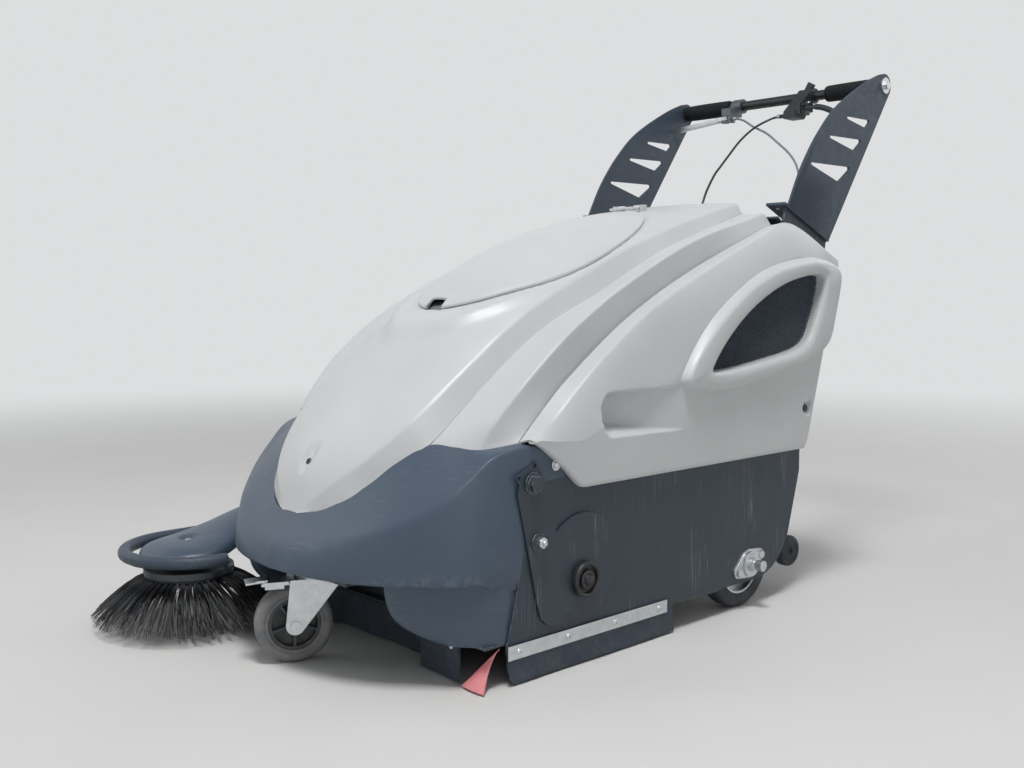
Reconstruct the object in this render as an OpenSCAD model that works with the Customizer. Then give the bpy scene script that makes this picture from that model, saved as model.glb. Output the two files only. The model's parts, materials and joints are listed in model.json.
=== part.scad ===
// Walk behind battery sweeper with a floating main brush, a side brush on a lifting arm,
// a swivel caster in front, a driven rear axle and a pull-out dust hopper.
// Front is -Y, the operator stands at +Y, +Z is up and the side brush is on the -X side.

/* [Body] */
// Width over the two steel side plates
body_w = 616; // [610:2:624]
// Thickness of the steel side plates
plate_t = 4; // [3:0.5:4]
// Wall of the moulded covers
wall = 3; // [2.5:0.5:3.5]
// How far the pale side panels stand out from the middle
panel_x = 322; // [320:1:326]
// Height of the deck that carries the batteries
deck_z = 430; // [425:1:435]

/* [Lid] */
// Length of the oval lid
lid_l = 504; // [490:2:512]
// Width of the oval lid
lid_w = 310; // [290:2:312]
// Height of the lid's dome over the hood
lid_dome = 15; // [8:1:22]

/* [Wheels] */
// Diameter of the caster wheel
caster_d = 125; // [120:1:126]
// How far the caster wheel trails its kingpin
caster_trail = 45; // [40:1:46]
// Turn of the caster about its kingpin in the stored pose
caster_yaw = -25; // [-40:1:40]
// Diameter of the drive wheels
wheel_d = 170; // [166:2:172]
// Diameter of the drive axle
axle_d = 25; // [22:1:25]
// Diameter of the small hopper wheels
hopper_wheel_d = 62; // [56:2:64]

/* [Brushes] */
// Diameter of the main brush over its bristles
brush_d = 266; // [256:2:268]
// Number of bristle rows round the main brush
brush_rows = 12; // [10:1:12]
// Number of bristles along each row
row_bristles = 16; // [14:1:20]
// Radius of the side brush at its bristle tips
side_tip_r = 168; // [150:2:170]
// Number of bristles in each ring of the side brush
ring_bristles = 48; // [40:4:60]
// Height of the side brush tips in the stored, lifted pose
side_tip_z = 18; // [16:1:24]

/* [Handle] */
// Height of the handlebar
bar_z = 1031; // [1020:1:1040]
// Distance of the handlebar behind the front end of the side skirts
bar_y = 1147; // [1140:1:1150]
// Diameter of the handlebar
bar_d = 22; // [20:1:24]
// Diameter of the foam grips
grip_d = 36; // [32:1:38]
// Thickness of the sheet arms
arm_t = 5; // [4:0.5:6]

/* [Hidden] */
$fn = 64;

// Colours
pale = "#c8c8ca";
dark = "#3a444f";
slate = "#3d4753";
zinc = "#b9bcbd";
black = "#1d1f22";
rubber = "#2c3138";
red = "#d8767c";

// Clearances: running shafts, and bodies that pass each other
run_gap = 0.05;
pass_gap = 0.5;

// Outer ends of the machine, which set the model's origin
axle_end = 345;
brush_side_x = -325;
brush_side_y = -188;
arm_tip_r = 25;
x_max = axle_end;
x_min = brush_side_x - side_tip_r;
y_min = brush_side_y - side_tip_r;
y_max = bar_y + arm_tip_r;
middle = [(x_max + x_min) / 2, (y_max + y_min) / 2, 0];

half_w = body_w / 2;
inner = half_w - plate_t;

// Main brush, its pivot and its stop
brush_y = 163;
brush_z = 138;
pivot = [50, 304];
stop = [61, 213];
shaft_r = 10;
core_r = 43;
tunnel_r = 156;
boss_r = 11;
pivot_tab = 16;
motor_pulley_r = 25;
brush_pulley_r = 35;
belt_x = -326;
belt_w = 10;

// Wheels
axle_y = 612;
axle_z = wheel_d / 2;
king_y = -122;
caster_z = caster_d / 2;
hopper_axle = [808, 70];

// Side brush arm pivot
lift_pivot = [10, 205];
lift_pin_r = 8;

// Arm foot line, from its front to its rear end, in y and z
foot_a = [788, 758];
foot_b = [937, 696];
foot_tilt = atan2(foot_b.y - foot_a.y, foot_b.x - foot_a.x);
foot_drop = (arm_t + 0.02) * [-sin(foot_tilt), cos(foot_tilt)];
arm_x = 264;

// Hood: height of the crown line, fall of the crown to its ridge, and half width to the ridge
crown_z = [[-178, 249], [-150, 319], [-100, 381], [-50, 432], [0, 476], [60, 525], [120, 571],
    [200, 621], [300, 664], [400, 698], [500, 724], [600, 746], [700, 762], [760, 771]];
crown_fall = [[-178, 2], [-100, 19], [0, 29], [100, 40], [250, 47], [450, 34], [760, 5]];
crown_half = [[-178, 14], [-150, 50], [-124, 72], [-91, 100], [-27, 130], [47, 158],
    [120, 167], [400, 168], [760, 165]];
// Valley beside the crown, which is the nose's own edge in front
valley_x = [[-178, 20], [-174, 36], [-165, 58], [-156, 80], [-139, 108], [-120, 124],
    [-101, 140], [-73, 158], [-44, 180], [60, 181], [400, 180], [760, 178]];
valley_z = [[-178, 247], [-174, 250], [-165, 255], [-156, 264], [-139, 281], [-120, 297],
    [-101, 315], [-73, 339], [-44, 358], [0, 392], [183, 521], [336, 588], [515, 668], [760, 747]];
// Terrace ridge, and the seam between the hood and the side panel
ridge_x = [[-5, 252], [29, 254], [109, 256], [197, 255], [322, 250], [526, 243], [760, 231]];
ridge_z = [[-5, 354], [29, 396], [109, 466], [197, 532], [322, 600], [526, 684], [760, 742]];
seam_x = [[46, 284], [88, 278], [156, 273], [300, 268], [468, 262], [723, 248], [760, 246]];
seam_z = [[46, 364], [88, 397], [156, 450], [300, 542], [468, 620], [723, 710], [760, 720]];
// Shoulder of the side panel, its lower edge and its inner edge behind the hood
shoulder_x = [[44, 308], [103, 305], [203, 302], [324, 300], [456, 298], [654, 295], [758, 291], [893, 321]];
shoulder_z = [[44, 369], [103, 398], [203, 475], [324, 554], [456, 615], [654, 693], [758, 721], [893, 649]];
panel_low = [[44, 364], [57, 361], [68, 354], [111, 321], [150, 286], [160, 284], [787, 284], [893, 647]];
panel_in = [[46, 286], [88, 280], [156, 275], [300, 270], [468, 264], [723, 250], [756, 248],
    [770, 267], [893, 316]];
hood_rear = 760;
hood_nose = -178;

// Bumper, station by station from the middle to the side: lip, crease and hood edge
lip_x = [[0, 0], [1, 76], [2, 150], [3, 208], [4, 252], [5, 285], [6, 303], [7, 308], [8, 308]];
lip_y = [[0, -219], [1, -212], [2, -190], [3, -157], [4, -117], [5, -84], [6, -50], [7, -16], [8, 18]];
crease_x = [[0, 0], [1, 74], [2, 146], [3, 200], [4, 243], [5, 270], [6, 282], [7, 290], [8, 302]];
crease_y = [[0, -207], [1, -198], [2, -177], [3, -149], [4, -112], [5, -78], [6, -46], [7, -8], [8, 46]];
crease_z = [[0, 206], [1, 210], [2, 224], [3, 243], [4, 265], [5, 289], [6, 316], [7, 346], [8, 357]];
edge_x = [[0, 0], [1, 40], [2, 80], [3, 124], [4, 150], [5, 180], [6, 216], [7, 252], [8, 284]];
edge_y = [[0, -178], [1, -173], [2, -156], [3, -120], [4, -86], [5, -44], [6, -24], [7, -5], [8, 44]];
edge_z = [[0, 249], [1, 251], [2, 264], [3, 297], [4, 330], [5, 358], [6, 357], [7, 354], [8, 362]];
lip_z = 163;
cheek_z = 68;

// Vent in the side panel: the opening and the outer edge of its raised rim, in y and z
vent_eye = [[468, 463], [560, 545], [680, 602], [795, 622], [818, 604], [790, 530], [748, 486],
    [620, 464], [500, 452]];
vent_rim = [[392, 448], [480, 545], [620, 625], [770, 655], [862, 646], [882, 616], [868, 545],
    [845, 488], [790, 460], [640, 430], [500, 414], [420, 424]];

// Control cables, from the lever to the panel
brake_route = [[-85, 1101, 996], [-60, 1098, 989], [-19, 1080, 968], [28, 1062, 947], [70, 1040, 922],
    [130, 1004, 884], [178, 960, 843], [207, 918, 790], [218, 884, 748], [220, 863, 717], [220, 840, 685]];
drive_route = [[34, 1101, 987], [18, 1092, 982], [-2, 1060, 962], [-5, 1010, 929], [-1, 960, 890],
    [3, 925, 863], [6, 900, 843], [14, 862, 805], [20, 836, 768], [20, 823, 745], [20, 800, 713]];
cable_r = 2.5;

// Points of an arc about c
function arc(c, r, a0, a1, n = 8) =
    [for (i = [0 : n]) c + r * [cos(a0 + (a1 - a0) * i / n), sin(a0 + (a1 - a0) * i / n)]];

// Segment of a rising table that holds t
function segment(tab, t, i = 0) = i >= len(tab) - 2 || t < tab[i + 1][0] ? i : segment(tab, t, i + 1);
function rise(tab, i) =
    let (a = max(i - 1, 0), b = min(i + 1, len(tab) - 1)) (tab[b][1] - tab[a][1]) / (tab[b][0] - tab[a][0]);

// Smooth value of a table at t
function curve(tab, t) =
    let (i = segment(tab, t), h = tab[i + 1][0] - tab[i][0], u = max(0, min(1, (t - tab[i][0]) / h)))
    (2 * u ^ 3 - 3 * u ^ 2 + 1) * tab[i][1] + (u ^ 3 - 2 * u ^ 2 + u) * h * rise(tab, i)
    + (3 * u ^ 2 - 2 * u ^ 3) * tab[i + 1][1] + (u ^ 3 - u ^ 2) * h * rise(tab, i + 1);

// Point of a smooth line through p0, p1, p2, p3 between p1 and p2
function spline_point(p0, p1, p2, p3, u) =
    p1 + u * (p2 - p0) / 2 + u ^ 2 * (p0 - 2.5 * p1 + 2 * p2 - p3 / 2)
    + u ^ 3 * (1.5 * p1 - p0 / 2 - 1.5 * p2 + p3 / 2);

// Closed smooth outline through points, n steps between two of them
function loop_line(p, n = 5) =
    [for (i = [0 : len(p) - 1], k = [0 : n - 1])
        spline_point(p[(i + len(p) - 1) % len(p)], p[i], p[(i + 1) % len(p)], p[(i + 2) % len(p)], k / n)];

// Open smooth line through points, n steps between two of them
function open_line(p, n = 3) =
    let (last = len(p) - 1)
    concat([for (i = [0 : last - 1], k = [0 : n - 1])
        spline_point(p[max(i - 1, 0)], p[i], p[i + 1], p[min(i + 2, last)], k / n)], [p[last]]);

function unit(v) = v / max(norm(v), 0.000001);
function mix(a, b, f) = a + (b - a) * f;
function flat(list) = [for (row = list, p = row) p];

// Outward normal of a grid whose rows run one way and columns the other
function grid_normal(g, j, i) =
    unit(cross(g[j][min(i + 1, len(g[0]) - 1)] - g[j][max(i - 1, 0)],
               g[min(j + 1, len(g) - 1)][i] - g[max(j - 1, 0)][i]));

// Closed shell of thickness t behind a grid of outer points
module shell(g, t) {
    m = len(g);
    n = len(g[0]);
    back = m * n;
    inside = [for (j = [0 : m - 1]) [for (i = [0 : n - 1]) g[j][i] - t * grid_normal(g, j, i)]];
    skins = [for (j = [0 : m - 2], i = [0 : n - 2])
        let (a = j * n + i, b = a + 1, c = b + n, d = a + n)
        each [[a, d, c], [a, c, b], [back + a, back + b, back + c], [back + a, back + c, back + d]]];
    ends = [for (i = [0 : n - 2]) let (a = i, b = i + 1, d = (m - 1) * n + i, c = d + 1)
        each [[a, b, back + b], [a, back + b, back + a], [c, d, back + d], [c, back + d, back + c]]];
    sides = [for (j = [0 : m - 2]) let (a = j * n, d = a + n, b = a + n - 1, c = b + n)
        each [[d, a, back + a], [d, back + a, back + d], [b, c, back + c], [b, back + c, back + b]]];
    polyhedron(points = concat(flat(g), flat(inside)), faces = concat(skins, ends, sides));
}

// Round tube through route points
module tube(route, r, sides = 8) {
    p = open_line(route);
    last = len(p) - 1;
    rings = [for (k = [0 : last])
        let (ahead = unit(p[min(k + 1, last)] - p[max(k - 1, 0)]),
             u = unit(cross(ahead, [0.31, 0.2, 0.93])), v = cross(ahead, u))
        [for (s = [0 : sides - 1]) p[k] + r * (cos(360 * s / sides) * u + sin(360 * s / sides) * v)]];
    walls = [for (k = [0 : last - 1], s = [0 : sides - 1])
        let (a = k * sides + s, b = k * sides + (s + 1) % sides)
        each [[a, a + sides, b + sides], [a, b + sides, b]]];
    caps = [[for (s = [0 : sides - 1]) s], [for (s = [sides - 1 : -1 : 0]) last * sides + s]];
    polyhedron(points = flat(rings), faces = concat(walls, caps));
}

// Tapered three-sided strand from a to b
module strand(a, b, ra, rb) {
    ahead = unit(b - a);
    u = unit(cross(ahead, [0.36, 0.48, 0.8]));
    v = cross(ahead, u);
    function ring(p, r) = [for (s = [0 : 2]) p + r * (cos(120 * s) * u + sin(120 * s) * v)];
    polyhedron(points = concat(ring(a, ra), ring(b, rb)),
        faces = [[0, 1, 2], [5, 4, 3], [0, 3, 4], [0, 4, 1], [1, 4, 5], [1, 5, 2], [2, 5, 3], [2, 3, 0]]);
}

// Moves the machine so that the middle of its outer box is the origin
module place() translate(-middle) children();

// Extrudes a y-z outline along x, from x0 over t
module side(x0, t) translate([x0, 0, 0]) rotate([90, 0, 90]) linear_extrude(t) children();

// Cylinder along x
module rod(x0, x1, y, z, r, sides = 64)
    side(min(x0, x1), abs(x1 - x0)) translate([y, z]) circle(r, $fn = sides);

// The same on both sides of the machine
module both() {
    children();
    mirror([1, 0, 0]) children();
}

// Turns and moves into the caster's own frame
module at_caster() translate([0, king_y, 0]) rotate([0, 0, caster_yaw]) children();

// Hood surface: crown with the raised collar that carries the front of the lid
function ease(t) = let (u = max(0, min(1, t))) u * u * (3 - 2 * u);
function collar(x, y) =
    12 * ease((1 - norm([x / 168, (y - 300) / 275])) / 0.3) * (1 - ease((y - 200) / 250));
function crown(x, y) =
    curve(crown_z, y) - curve(crown_fall, y) * (x / curve(crown_half, y)) ^ 2 + collar(x, y);

lid_y = 360;
crown_parts = [0, 0.3, 0.6, 0.85, 1];
wall_parts = [0.3, 0.65, 1];
crown_rows = [-178, -172, -162, -150, -135, -118, -98, -73, -44, -10, 28, 52, 78, 104, 130, 180,
    240, 310, 390, 470, 550, 630, 700, 760];
function ridge_point(y) = let (x = curve(crown_half, y)) [x, y, crown(x, y) - 3];
function valley_point(y) = [curve(valley_x, y), y, curve(valley_z, y)];
function crown_half_row(y) = concat(
    [for (f = crown_parts) let (x = f * curve(crown_half, y)) [x, y, crown(x, y) - (f == 1 ? 3 : 0)]],
    [for (f = wall_parts) mix(ridge_point(y), valley_point(y), f)]);
function mirrored(p) = [-p.x, p.y, p.z];
function crown_row(y) = let (h = crown_half_row(y), n = len(h))
    concat([for (i = [n - 1 : -1 : 1]) mirrored(h[i])], h);

// Terrace beside the crown: its valley, ridge and seam start one behind the other
terrace_rows = 20;
terrace_start = [-48, -5, 46];
function terrace_row(j) =
    let (y = [for (s = terrace_start) mix(s, hood_rear, j / terrace_rows)],
         v = valley_point(y[0]), r = [curve(ridge_x, y[1]), y[1], curve(ridge_z, y[1])],
         s = [curve(seam_x, y[2]), y[2], curve(seam_z, y[2])])
    [v - [6, 0, 2], mix(v, r, 0.12), mix(v, r, 0.55) - [0, 0, 2], mix(v, r, 0.9), r - [0, 0, 4],
     mix(r, s, 0.5), s];

module oval(grow, low, high) translate([0, lid_y, low]) linear_extrude(high - low)
    polygon([for (a = [0 : 7.5 : 352.5]) [(lid_w / 2 + grow) * cos(a), (lid_l / 2 + grow) * sin(a)]]);

module hood() color(pale) place() difference() {
    resize([0, 0, 0]) union() {
        shell([for (y = crown_rows) crown_row(y)], wall);
        both() shell([for (j = [0 : terrace_rows]) terrace_row(j)], wall);
    }
    oval(-22, 480, 800);
}

// Lid: a pillow over the hood's oval opening, hinged at its rear
lid_axis = [626, 758];
lid_lift = 4;
lid_rows = [for (k = [0 : 18]) -cos(mix(11, 169, k / 18))];
lid_columns = [for (k = [0 : 10]) -cos(mix(0, 180, k / 10))];
function lid_point(s, q) =
    let (y = lid_y + q * lid_l / 2, x = s * lid_w / 2 * sqrt(1 - q ^ 2), r2 = s ^ 2 * (1 - q ^ 2) + q ^ 2)
    [x, y, crown(x, y) + lid_lift + lid_dome * max(0, 1 - r2) ^ 0.6];
lug_r = 5;
module lid() color(pale) place() difference() {
    union() {
        difference() {
            resize([0, 0, 0]) shell([for (q = lid_rows) [for (s = lid_columns) lid_point(s, q)]], wall);
            translate([-21, 98, 540]) cube([42, 24, 70]);
        }
        for (x = [-30, 12]) {
            rod(x, x + 18, lid_axis.x, lid_axis.y, lug_r);
            translate([x, 598, lid_axis.y - 6.5]) cube([18, lid_axis.x - 598, 6.5]);
        }
    }
    rod(-60, 60, lid_axis.x, lid_axis.y, 3 + run_gap);
}

module lid_hinge() color(slate) place() {
    rod(-41, 41, lid_axis.x, lid_axis.y, 3);
    for (x = [-41, 31]) translate([x, lid_axis.x - 5, lid_axis.y - 10]) cube([10, 10, 15]);
}

// Side panel: seam, shoulder, side and lower edge, with a grip hollow
panel_rows = [46, 52, 60, 72, 90, 111, 132, 152, 185, 215, 240, 265, 290, 315, 340, 370, 400, 450, 510, 580,
    650, 710, 758, 775, 790, 815, 840, 865, 886];
panel_drop = [0, 0, 0, 10, 32, 66];
panel_share = [0, 0, 0, 0.12, 0.28, 0.5];
panel_reach = [0, 0.5, 1, 0.5, 0.82, 1];
panel_below = [0.15, 0.3, 0.45, 0.6, 0.72, 0.86, 1];
function grip_hollow(y, z) = 15 * max(0, 1 - ((y - 303) / 120) ^ 2 - ((z - 392 - (y - 303) * 0.06) / 42) ^ 2);
function panel_point(c, y) =
    let (i = [curve(panel_in, y), curve(y > hood_rear ? shoulder_z : seam_z, y)],
         s = [curve(shoulder_x, y), curve(shoulder_z, y)], low = lookup(y, panel_low), h = s.y - low,
         q = c < 3 ? mix(i, s, panel_reach[c])
           : c < 6 ? [mix(s.x, panel_x, panel_reach[c]), s.y - min(panel_drop[c], panel_share[c] * h)]
           : [panel_x - 2 * panel_below[c - 6],
              mix(s.y - min(panel_drop[5], panel_share[5] * h), low, panel_below[c - 6])])
    [q.x - (c < 5 ? 0 : grip_hollow(y, q.y)), y, q.y];
vent_back = 315;
vent_face = 333;
module panel_shape() difference() {
    union() {
        difference() {
            resize([0, 0, 0]) shell([for (y = panel_rows) [for (c = [0 : 12]) panel_point(c, y)]], wall);
            side(vent_back - 10, 30) polygon(loop_line(vent_eye));
        }
        side(vent_back, vent_face - vent_back) difference() {
            polygon(loop_line(vent_rim));
            polygon(loop_line(vent_eye));
        }
    }
    rod(vent_back - 10, panel_x + 20, 787, 364, 4);
}
module side_panel_left() color(pale) place() panel_shape();
module side_panel_right() color(pale) place() mirror([1, 0, 0]) panel_shape();

// Mesh behind each vent, drawn as a slotted sheet
slot_h = 6;
module vent_meshes() color(black) place() both() side(vent_back - 3, 3) difference() {
    offset(delta = 7) polygon(loop_line(vent_eye));
    for (z = [462 : 13 : 618]) intersection() {
        translate([480, z]) square([340, slot_h]);
        polygon(loop_line(vent_eye));
    }
}

// Front bumper: lip, leaning wall, crease and top face up to the hood, with a cheek below each side
bumper_stations = [for (k = [-16 : 16]) k / 2];
edge_gap = 8;
function station(u) =
    let (a = abs(u), s = u < 0 ? -1 : 1,
         lip = [s * curve(lip_x, a), curve(lip_y, a), lip_z],
         crease = [s * curve(crease_x, a), curve(crease_y, a), curve(crease_z, a)],
         edge = [s * curve(edge_x, a), curve(edge_y, a), curve(edge_z, a)],
         stop_edge = edge + edge_gap * unit(crease - edge))
    [lip, mix(lip, crease, 0.5) + 0.25 * (lip - [0, 0, lip.z] - crease + [0, 0, crease.z]),
     mix(lip, crease, 0.88), mix(crease, stop_edge, 0.06), mix(crease, stop_edge, 0.3),
     mix(crease, stop_edge, 0.65), stop_edge];
bumper_columns = [for (u = bumper_stations) station(u)];
bumper_wall = 4;
cheek_top = [[303, -40], [268, -92], [214, -143], [190, -146], [188, -62], [240, 6], [303, 15]];
cheek_foot = [[303, -8], [290, -54], [235, -78], [202, -64], [218, 6], [303, 13]];
module cheek(shrink) hull() {
    translate([0, 0, lip_z + 20 - shrink]) linear_extrude(1) offset(-shrink) polygon(cheek_top);
    translate([0, 0, cheek_z]) linear_extrude(1) offset(-shrink) polygon(cheek_foot);
}
module front_bumper() color(dark) place() difference() {
    resize([0, 0, 0]) union() {
        shell([for (j = [0 : 6]) [for (c = bumper_columns) c[j]]], bumper_wall);
        both() difference() {
            cheek(0);
            translate([0, 0, -3]) cheek(4);
        }
    }
    rod(-half_w - 20, -half_w + 60, lift_pivot.x, lift_pivot.y, 18);
    both() rod(half_w - 30, half_w + 20, pivot.x, pivot.y, pivot_tab + 1.5);
}

// Steel side plate outline, in y and z
plate_line = concat([[1, 50]], [[640, 50]], arc([640, 165], 115, -90, -12, 8), [[782, 241], [782, 290],
    [862, 600], [800, 652], [751, 670], [654, 643], [460, 564], [330, 498], [211, 418], [113, 343],
    [84, 350], [56, 356], [50, 345], [47, 300], [39, 232], [26, 163], [14, 110], [1, 67]]);
module plate_shape(x0, pivot_r) side(x0, plate_t) difference() {
    union() {
        polygon(plate_line);
        translate(pivot) circle(pivot_tab);
    }
    polygon([for (a = [0 : 10 : 350]) [303 + 132 * cos(a), 392 + 8 * cos(a) + 50 * sin(a)]]);
    translate([brush_y, brush_z]) circle(45);
    translate(pivot) circle(pivot_r);
    translate(stop) circle(4);
    translate([axle_y, axle_z]) circle(24);
}
module side_plate_left() color(dark) place() plate_shape(inner, 8);
module side_plate_right() color(dark) place() plate_shape(-half_w, boss_r);

// Plan of the shelf over the front flap, which steps back behind the caster
flap_plan = [[250, -44], [150, -38], [128, 0], [-128, 0], [-150, -38], [-220, -42.2]];
front_wall_y = 18;
module chassis_frame() color(dark) place() {
    translate([-inner, front_wall_y, 60]) cube([2 * inner, 3, 90]);
    translate([-inner + 12, front_wall_y, 140]) cube([2 * inner - 24, 3, 115]);
    translate([-150, -178, 155]) cube([300, 178 + front_wall_y, 5]);
    translate([0, 0, 64]) linear_extrude(4)
        polygon(concat(flap_plan,
            [[-inner, -40], [-inner, front_wall_y + 1], [inner, front_wall_y + 1], [inner, -40]]));
    translate([-inner, brush_y, brush_z]) rotate([90, 0, 90])
        rotate_extrude(start = 50, angle = 104) translate([tunnel_r, 0]) square([3, 2 * inner]);
    translate([-inner, 310, 50]) cube([2 * inner, 3, 70]);
    translate([-inner, 440, 46]) cube([2 * inner, 86, 4]);
    translate([-inner, 222, deck_z]) cube([2 * inner, 440, 4]);
    translate([-262, 660, deck_z]) cube([524, 44, 4]);
    translate([-258, 700, deck_z]) cube([516, 4, 200]);
    both() side(258, 5) polygon([[700, deck_z], [800, deck_z], [872, 600], [930, 670],
        foot_b - foot_drop, foot_a - foot_drop, [772, 700], [700, 640]]);
}

// Operator's panel behind the hood, with cable grommets and the key barrel's hole
panel_top = [768, 736];
panel_end = [884, 652];
panel_tilt = atan2(panel_end.y - panel_top.y, panel_end.x - panel_top.x);
key_place = [-120, 58];
module on_panel() translate([0, panel_top.x, panel_top.y]) rotate([panel_tilt, 0, 0]) children();
module control_panel() color(slate) place() difference() {
    on_panel() {
        translate([-258, 0, -4]) cube([516, norm(panel_end - panel_top), 4]);
        translate([40, 30, 0]) cube([70, 50, 3]);
        for (p = [[20, 39.5], [220, 88.6]]) translate([p.x, p.y, 0]) difference() {
            cylinder(r = 8, h = 6);
            translate([0, 0, -1]) cylinder(r = cable_r + 0.6, h = 8);
        }
    }
    on_panel() translate([key_place.x, key_place.y, -10]) cylinder(r = 9 + run_gap, h = 20);
}
module key_switch() color(black) place() on_panel() translate([key_place.x, key_place.y, 0]) {
    translate([0, 0, -16]) cylinder(r = 9, h = 22);
    translate([0, 0, 5]) cylinder(r = 13, h = 4);
    translate([-1.5, -11, 9]) cube([3, 22, 20]);
}

module rear_cover() color(slate) place() side(-257, 514)
    polygon([panel_end - [0, 5], [812, 412], [808, 412], panel_end - [4.5, 5]]);

// Perforated sheet arm with its bent foot, for the left side
arm_front = open_line([foot_a, [824, 824], [860, 874], [893, 911], [938, 953], [995, 990], [1074, 1031],
    [1126, bar_z + 21]], 4);
arm_line = concat(arm_front, arc([bar_y, bar_z], arm_tip_r, 112, -32, 10), [foot_b]);
// Holes in the arm, each with a small, a middle and a large corner
arm_holes = [[[999, 948], [1081, 948], [1068, 942]], [[934, 903], [1048, 904], [1024, 891]],
    [[867, 844], [1005, 844], [966, 823]]];
hole_r = [3, 4, 8];
foot_len = norm(foot_b - foot_a);
foot_w = 44;
module on_foot() translate([0, foot_a.x, foot_a.y]) rotate([foot_tilt, 0, 0]) children();
module arm_shape() {
    side(arm_x, arm_t) difference() {
        polygon(arm_line);
        translate([bar_y, bar_z]) circle(6);
        for (h = arm_holes) hull() for (k = [0 : 2]) translate(h[k]) circle(hole_r[k], $fn = 24);
    }
    on_foot() difference() {
        translate([arm_x + arm_t - foot_w, -14, -arm_t]) cube([foot_w, foot_len + 14, arm_t]);
        for (y = [4, foot_len - 24]) translate([arm_x - 22, y, -arm_t - 1]) cylinder(r = 4, h = arm_t + 2);
    }
}
module arm_left() color(slate) place() arm_shape();
module arm_right() color(slate) place() mirror([1, 0, 0]) arm_shape();

module arm_bolts() color(zinc) place() both() {
    rod(arm_x + arm_t, arm_x + arm_t + 2.5, bar_y, bar_z, 17);
    rod(arm_x + arm_t + 2.5, arm_x + arm_t + 9, bar_y, bar_z, 9, 6);
    rod(arm_x, arm_x + arm_t + 2.5, bar_y, bar_z, 6);
    on_foot() for (y = [4, foot_len - 24]) translate([arm_x - 22, y, -arm_t]) {
        cylinder(r = 4, h = arm_t + 2);
        translate([0, 0, arm_t]) cylinder(r = 8, h = 1.5);
        translate([0, 0, arm_t + 1.5]) cylinder(r = 7, h = 5, $fn = 6);
    }
}

module handlebar() color(black) place() rod(-arm_x, arm_x, bar_y, bar_z, bar_d / 2);

grip_out = 262;
grip_len = 132;
module grips() color(black) place() both() translate([grip_out - grip_len, bar_y, bar_z]) rotate([0, 90, 0])
    rotate_extrude() polygon(concat(
        [[bar_d / 2, 0], [grip_d / 2 - 3, 0]], arc([grip_d / 2 - 3, 4], 4, -90, 0, 5),
        [[grip_d / 2, grip_len - 4], [grip_d / 2 - 4, grip_len], [bar_d / 2, grip_len]]));

// Brake lever in its clamp on the right of the bar, and the drive lever in its housing on the left
lever_y = 1100;
lever_z = 998;
brake_x = -112;
drive_x = 112;
lever_pin_r = 3;
module lever_fork(x) {
    for (z = [lever_z - 10, lever_z + 5.5]) translate([x, lever_y, z]) cylinder(r = 10, h = 4.5);
    translate([x, lever_y, lever_z - 10]) cylinder(r = lever_pin_r, h = 20);
}
module brake_clamp() color(slate) place() {
    difference() {
        union() {
            rod(brake_x - 8, brake_x + 18, bar_y, bar_z, 17);
            translate([brake_x - 8, lever_y - 6, lever_z + 6]) cube([26, 46, 18]);
            translate([brake_x + 11, lever_y - 8, lever_z - 10]) cube([9, 18, 20]);
        }
        rod(brake_x - 20, brake_x + 30, bar_y, bar_z, bar_d / 2);
    }
    lever_fork(brake_x);
    translate([brake_x + 20, lever_y + 1, 996]) rotate([0, 90, 0]) cylinder(r = 4.5, h = 7);
}
function lever_outline(len, w0, w1) = concat(arc([0, 0], w0, 90, -90, 8), arc([-len, -w1], w1, -90, -270, 8));
module lever_blade(len) difference() {
    union() {
        translate([0, 0, -4]) cylinder(r = 9, h = 8.5);
        rotate([0, -6, 0]) translate([0, 0, -3.5]) linear_extrude(7) polygon(lever_outline(len, 9, 7));
        rotate([0, -6, 0]) translate([0, 0, -5]) linear_extrude(10)
            polygon(concat([[-18, 7.5], [-18, -9]], arc([-len, -7], 7, -90, -270, 8)));
    }
    translate([0, 0, -30]) cylinder(r = lever_pin_r + run_gap, h = 60);
}
module brake_lever() color(zinc) place() translate([brake_x, lever_y, lever_z]) lever_blade(142);
module drive_housing() color(black) place() {
    difference() {
        union() {
            rod(62, 100, bar_y, bar_z, 17);
            hull() {
                translate([56, lever_y - 14, lever_z - 20]) cube([30, 40, 16]);
                translate([66, bar_y - 20, bar_z - 12]) cube([32, 14, 20]);
            }
            translate([84, lever_y - 12, lever_z - 12]) cube([14, 40, 26]);
            translate([70, bar_y - 6, bar_z + 8]) rotate([0, 30, 0]) cube([14, 12, 28]);
        }
        rod(40, 120, bar_y, bar_z, bar_d / 2);
    }
    translate([98, lever_y - 8, lever_z - 10]) cube([3.5, 16, 20]);
    for (z = [lever_z - 10, lever_z + 5.5]) translate([97, lever_y - 8, z]) cube([drive_x - 97, 16, 4.5]);
    lever_fork(drive_x);
    translate([56, lever_y + 1, 987]) rotate([0, -90, 0]) cylinder(r = 4.5, h = 22);
}
module drive_lever() color(black) place() translate([drive_x, lever_y, lever_z]) difference() {
    union() {
        translate([0, 0, -4]) cylinder(r = 9, h = 8.5);
        translate([0, -6, -4]) cube([22, 12, 8]);
        tube([[18, 0, 0], [36, -0.5, -4], [60, -1.5, -15], [78, -3, -33], [88, -4, -52]], 6.5, 16);
    }
    translate([0, 0, -30]) cylinder(r = lever_pin_r + run_gap, h = 60);
}

module brake_cable() color("#9a9da0") place() tube(brake_route, cable_r);
module drive_cable() color(black) place() tube(drive_route, cable_r);

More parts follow.
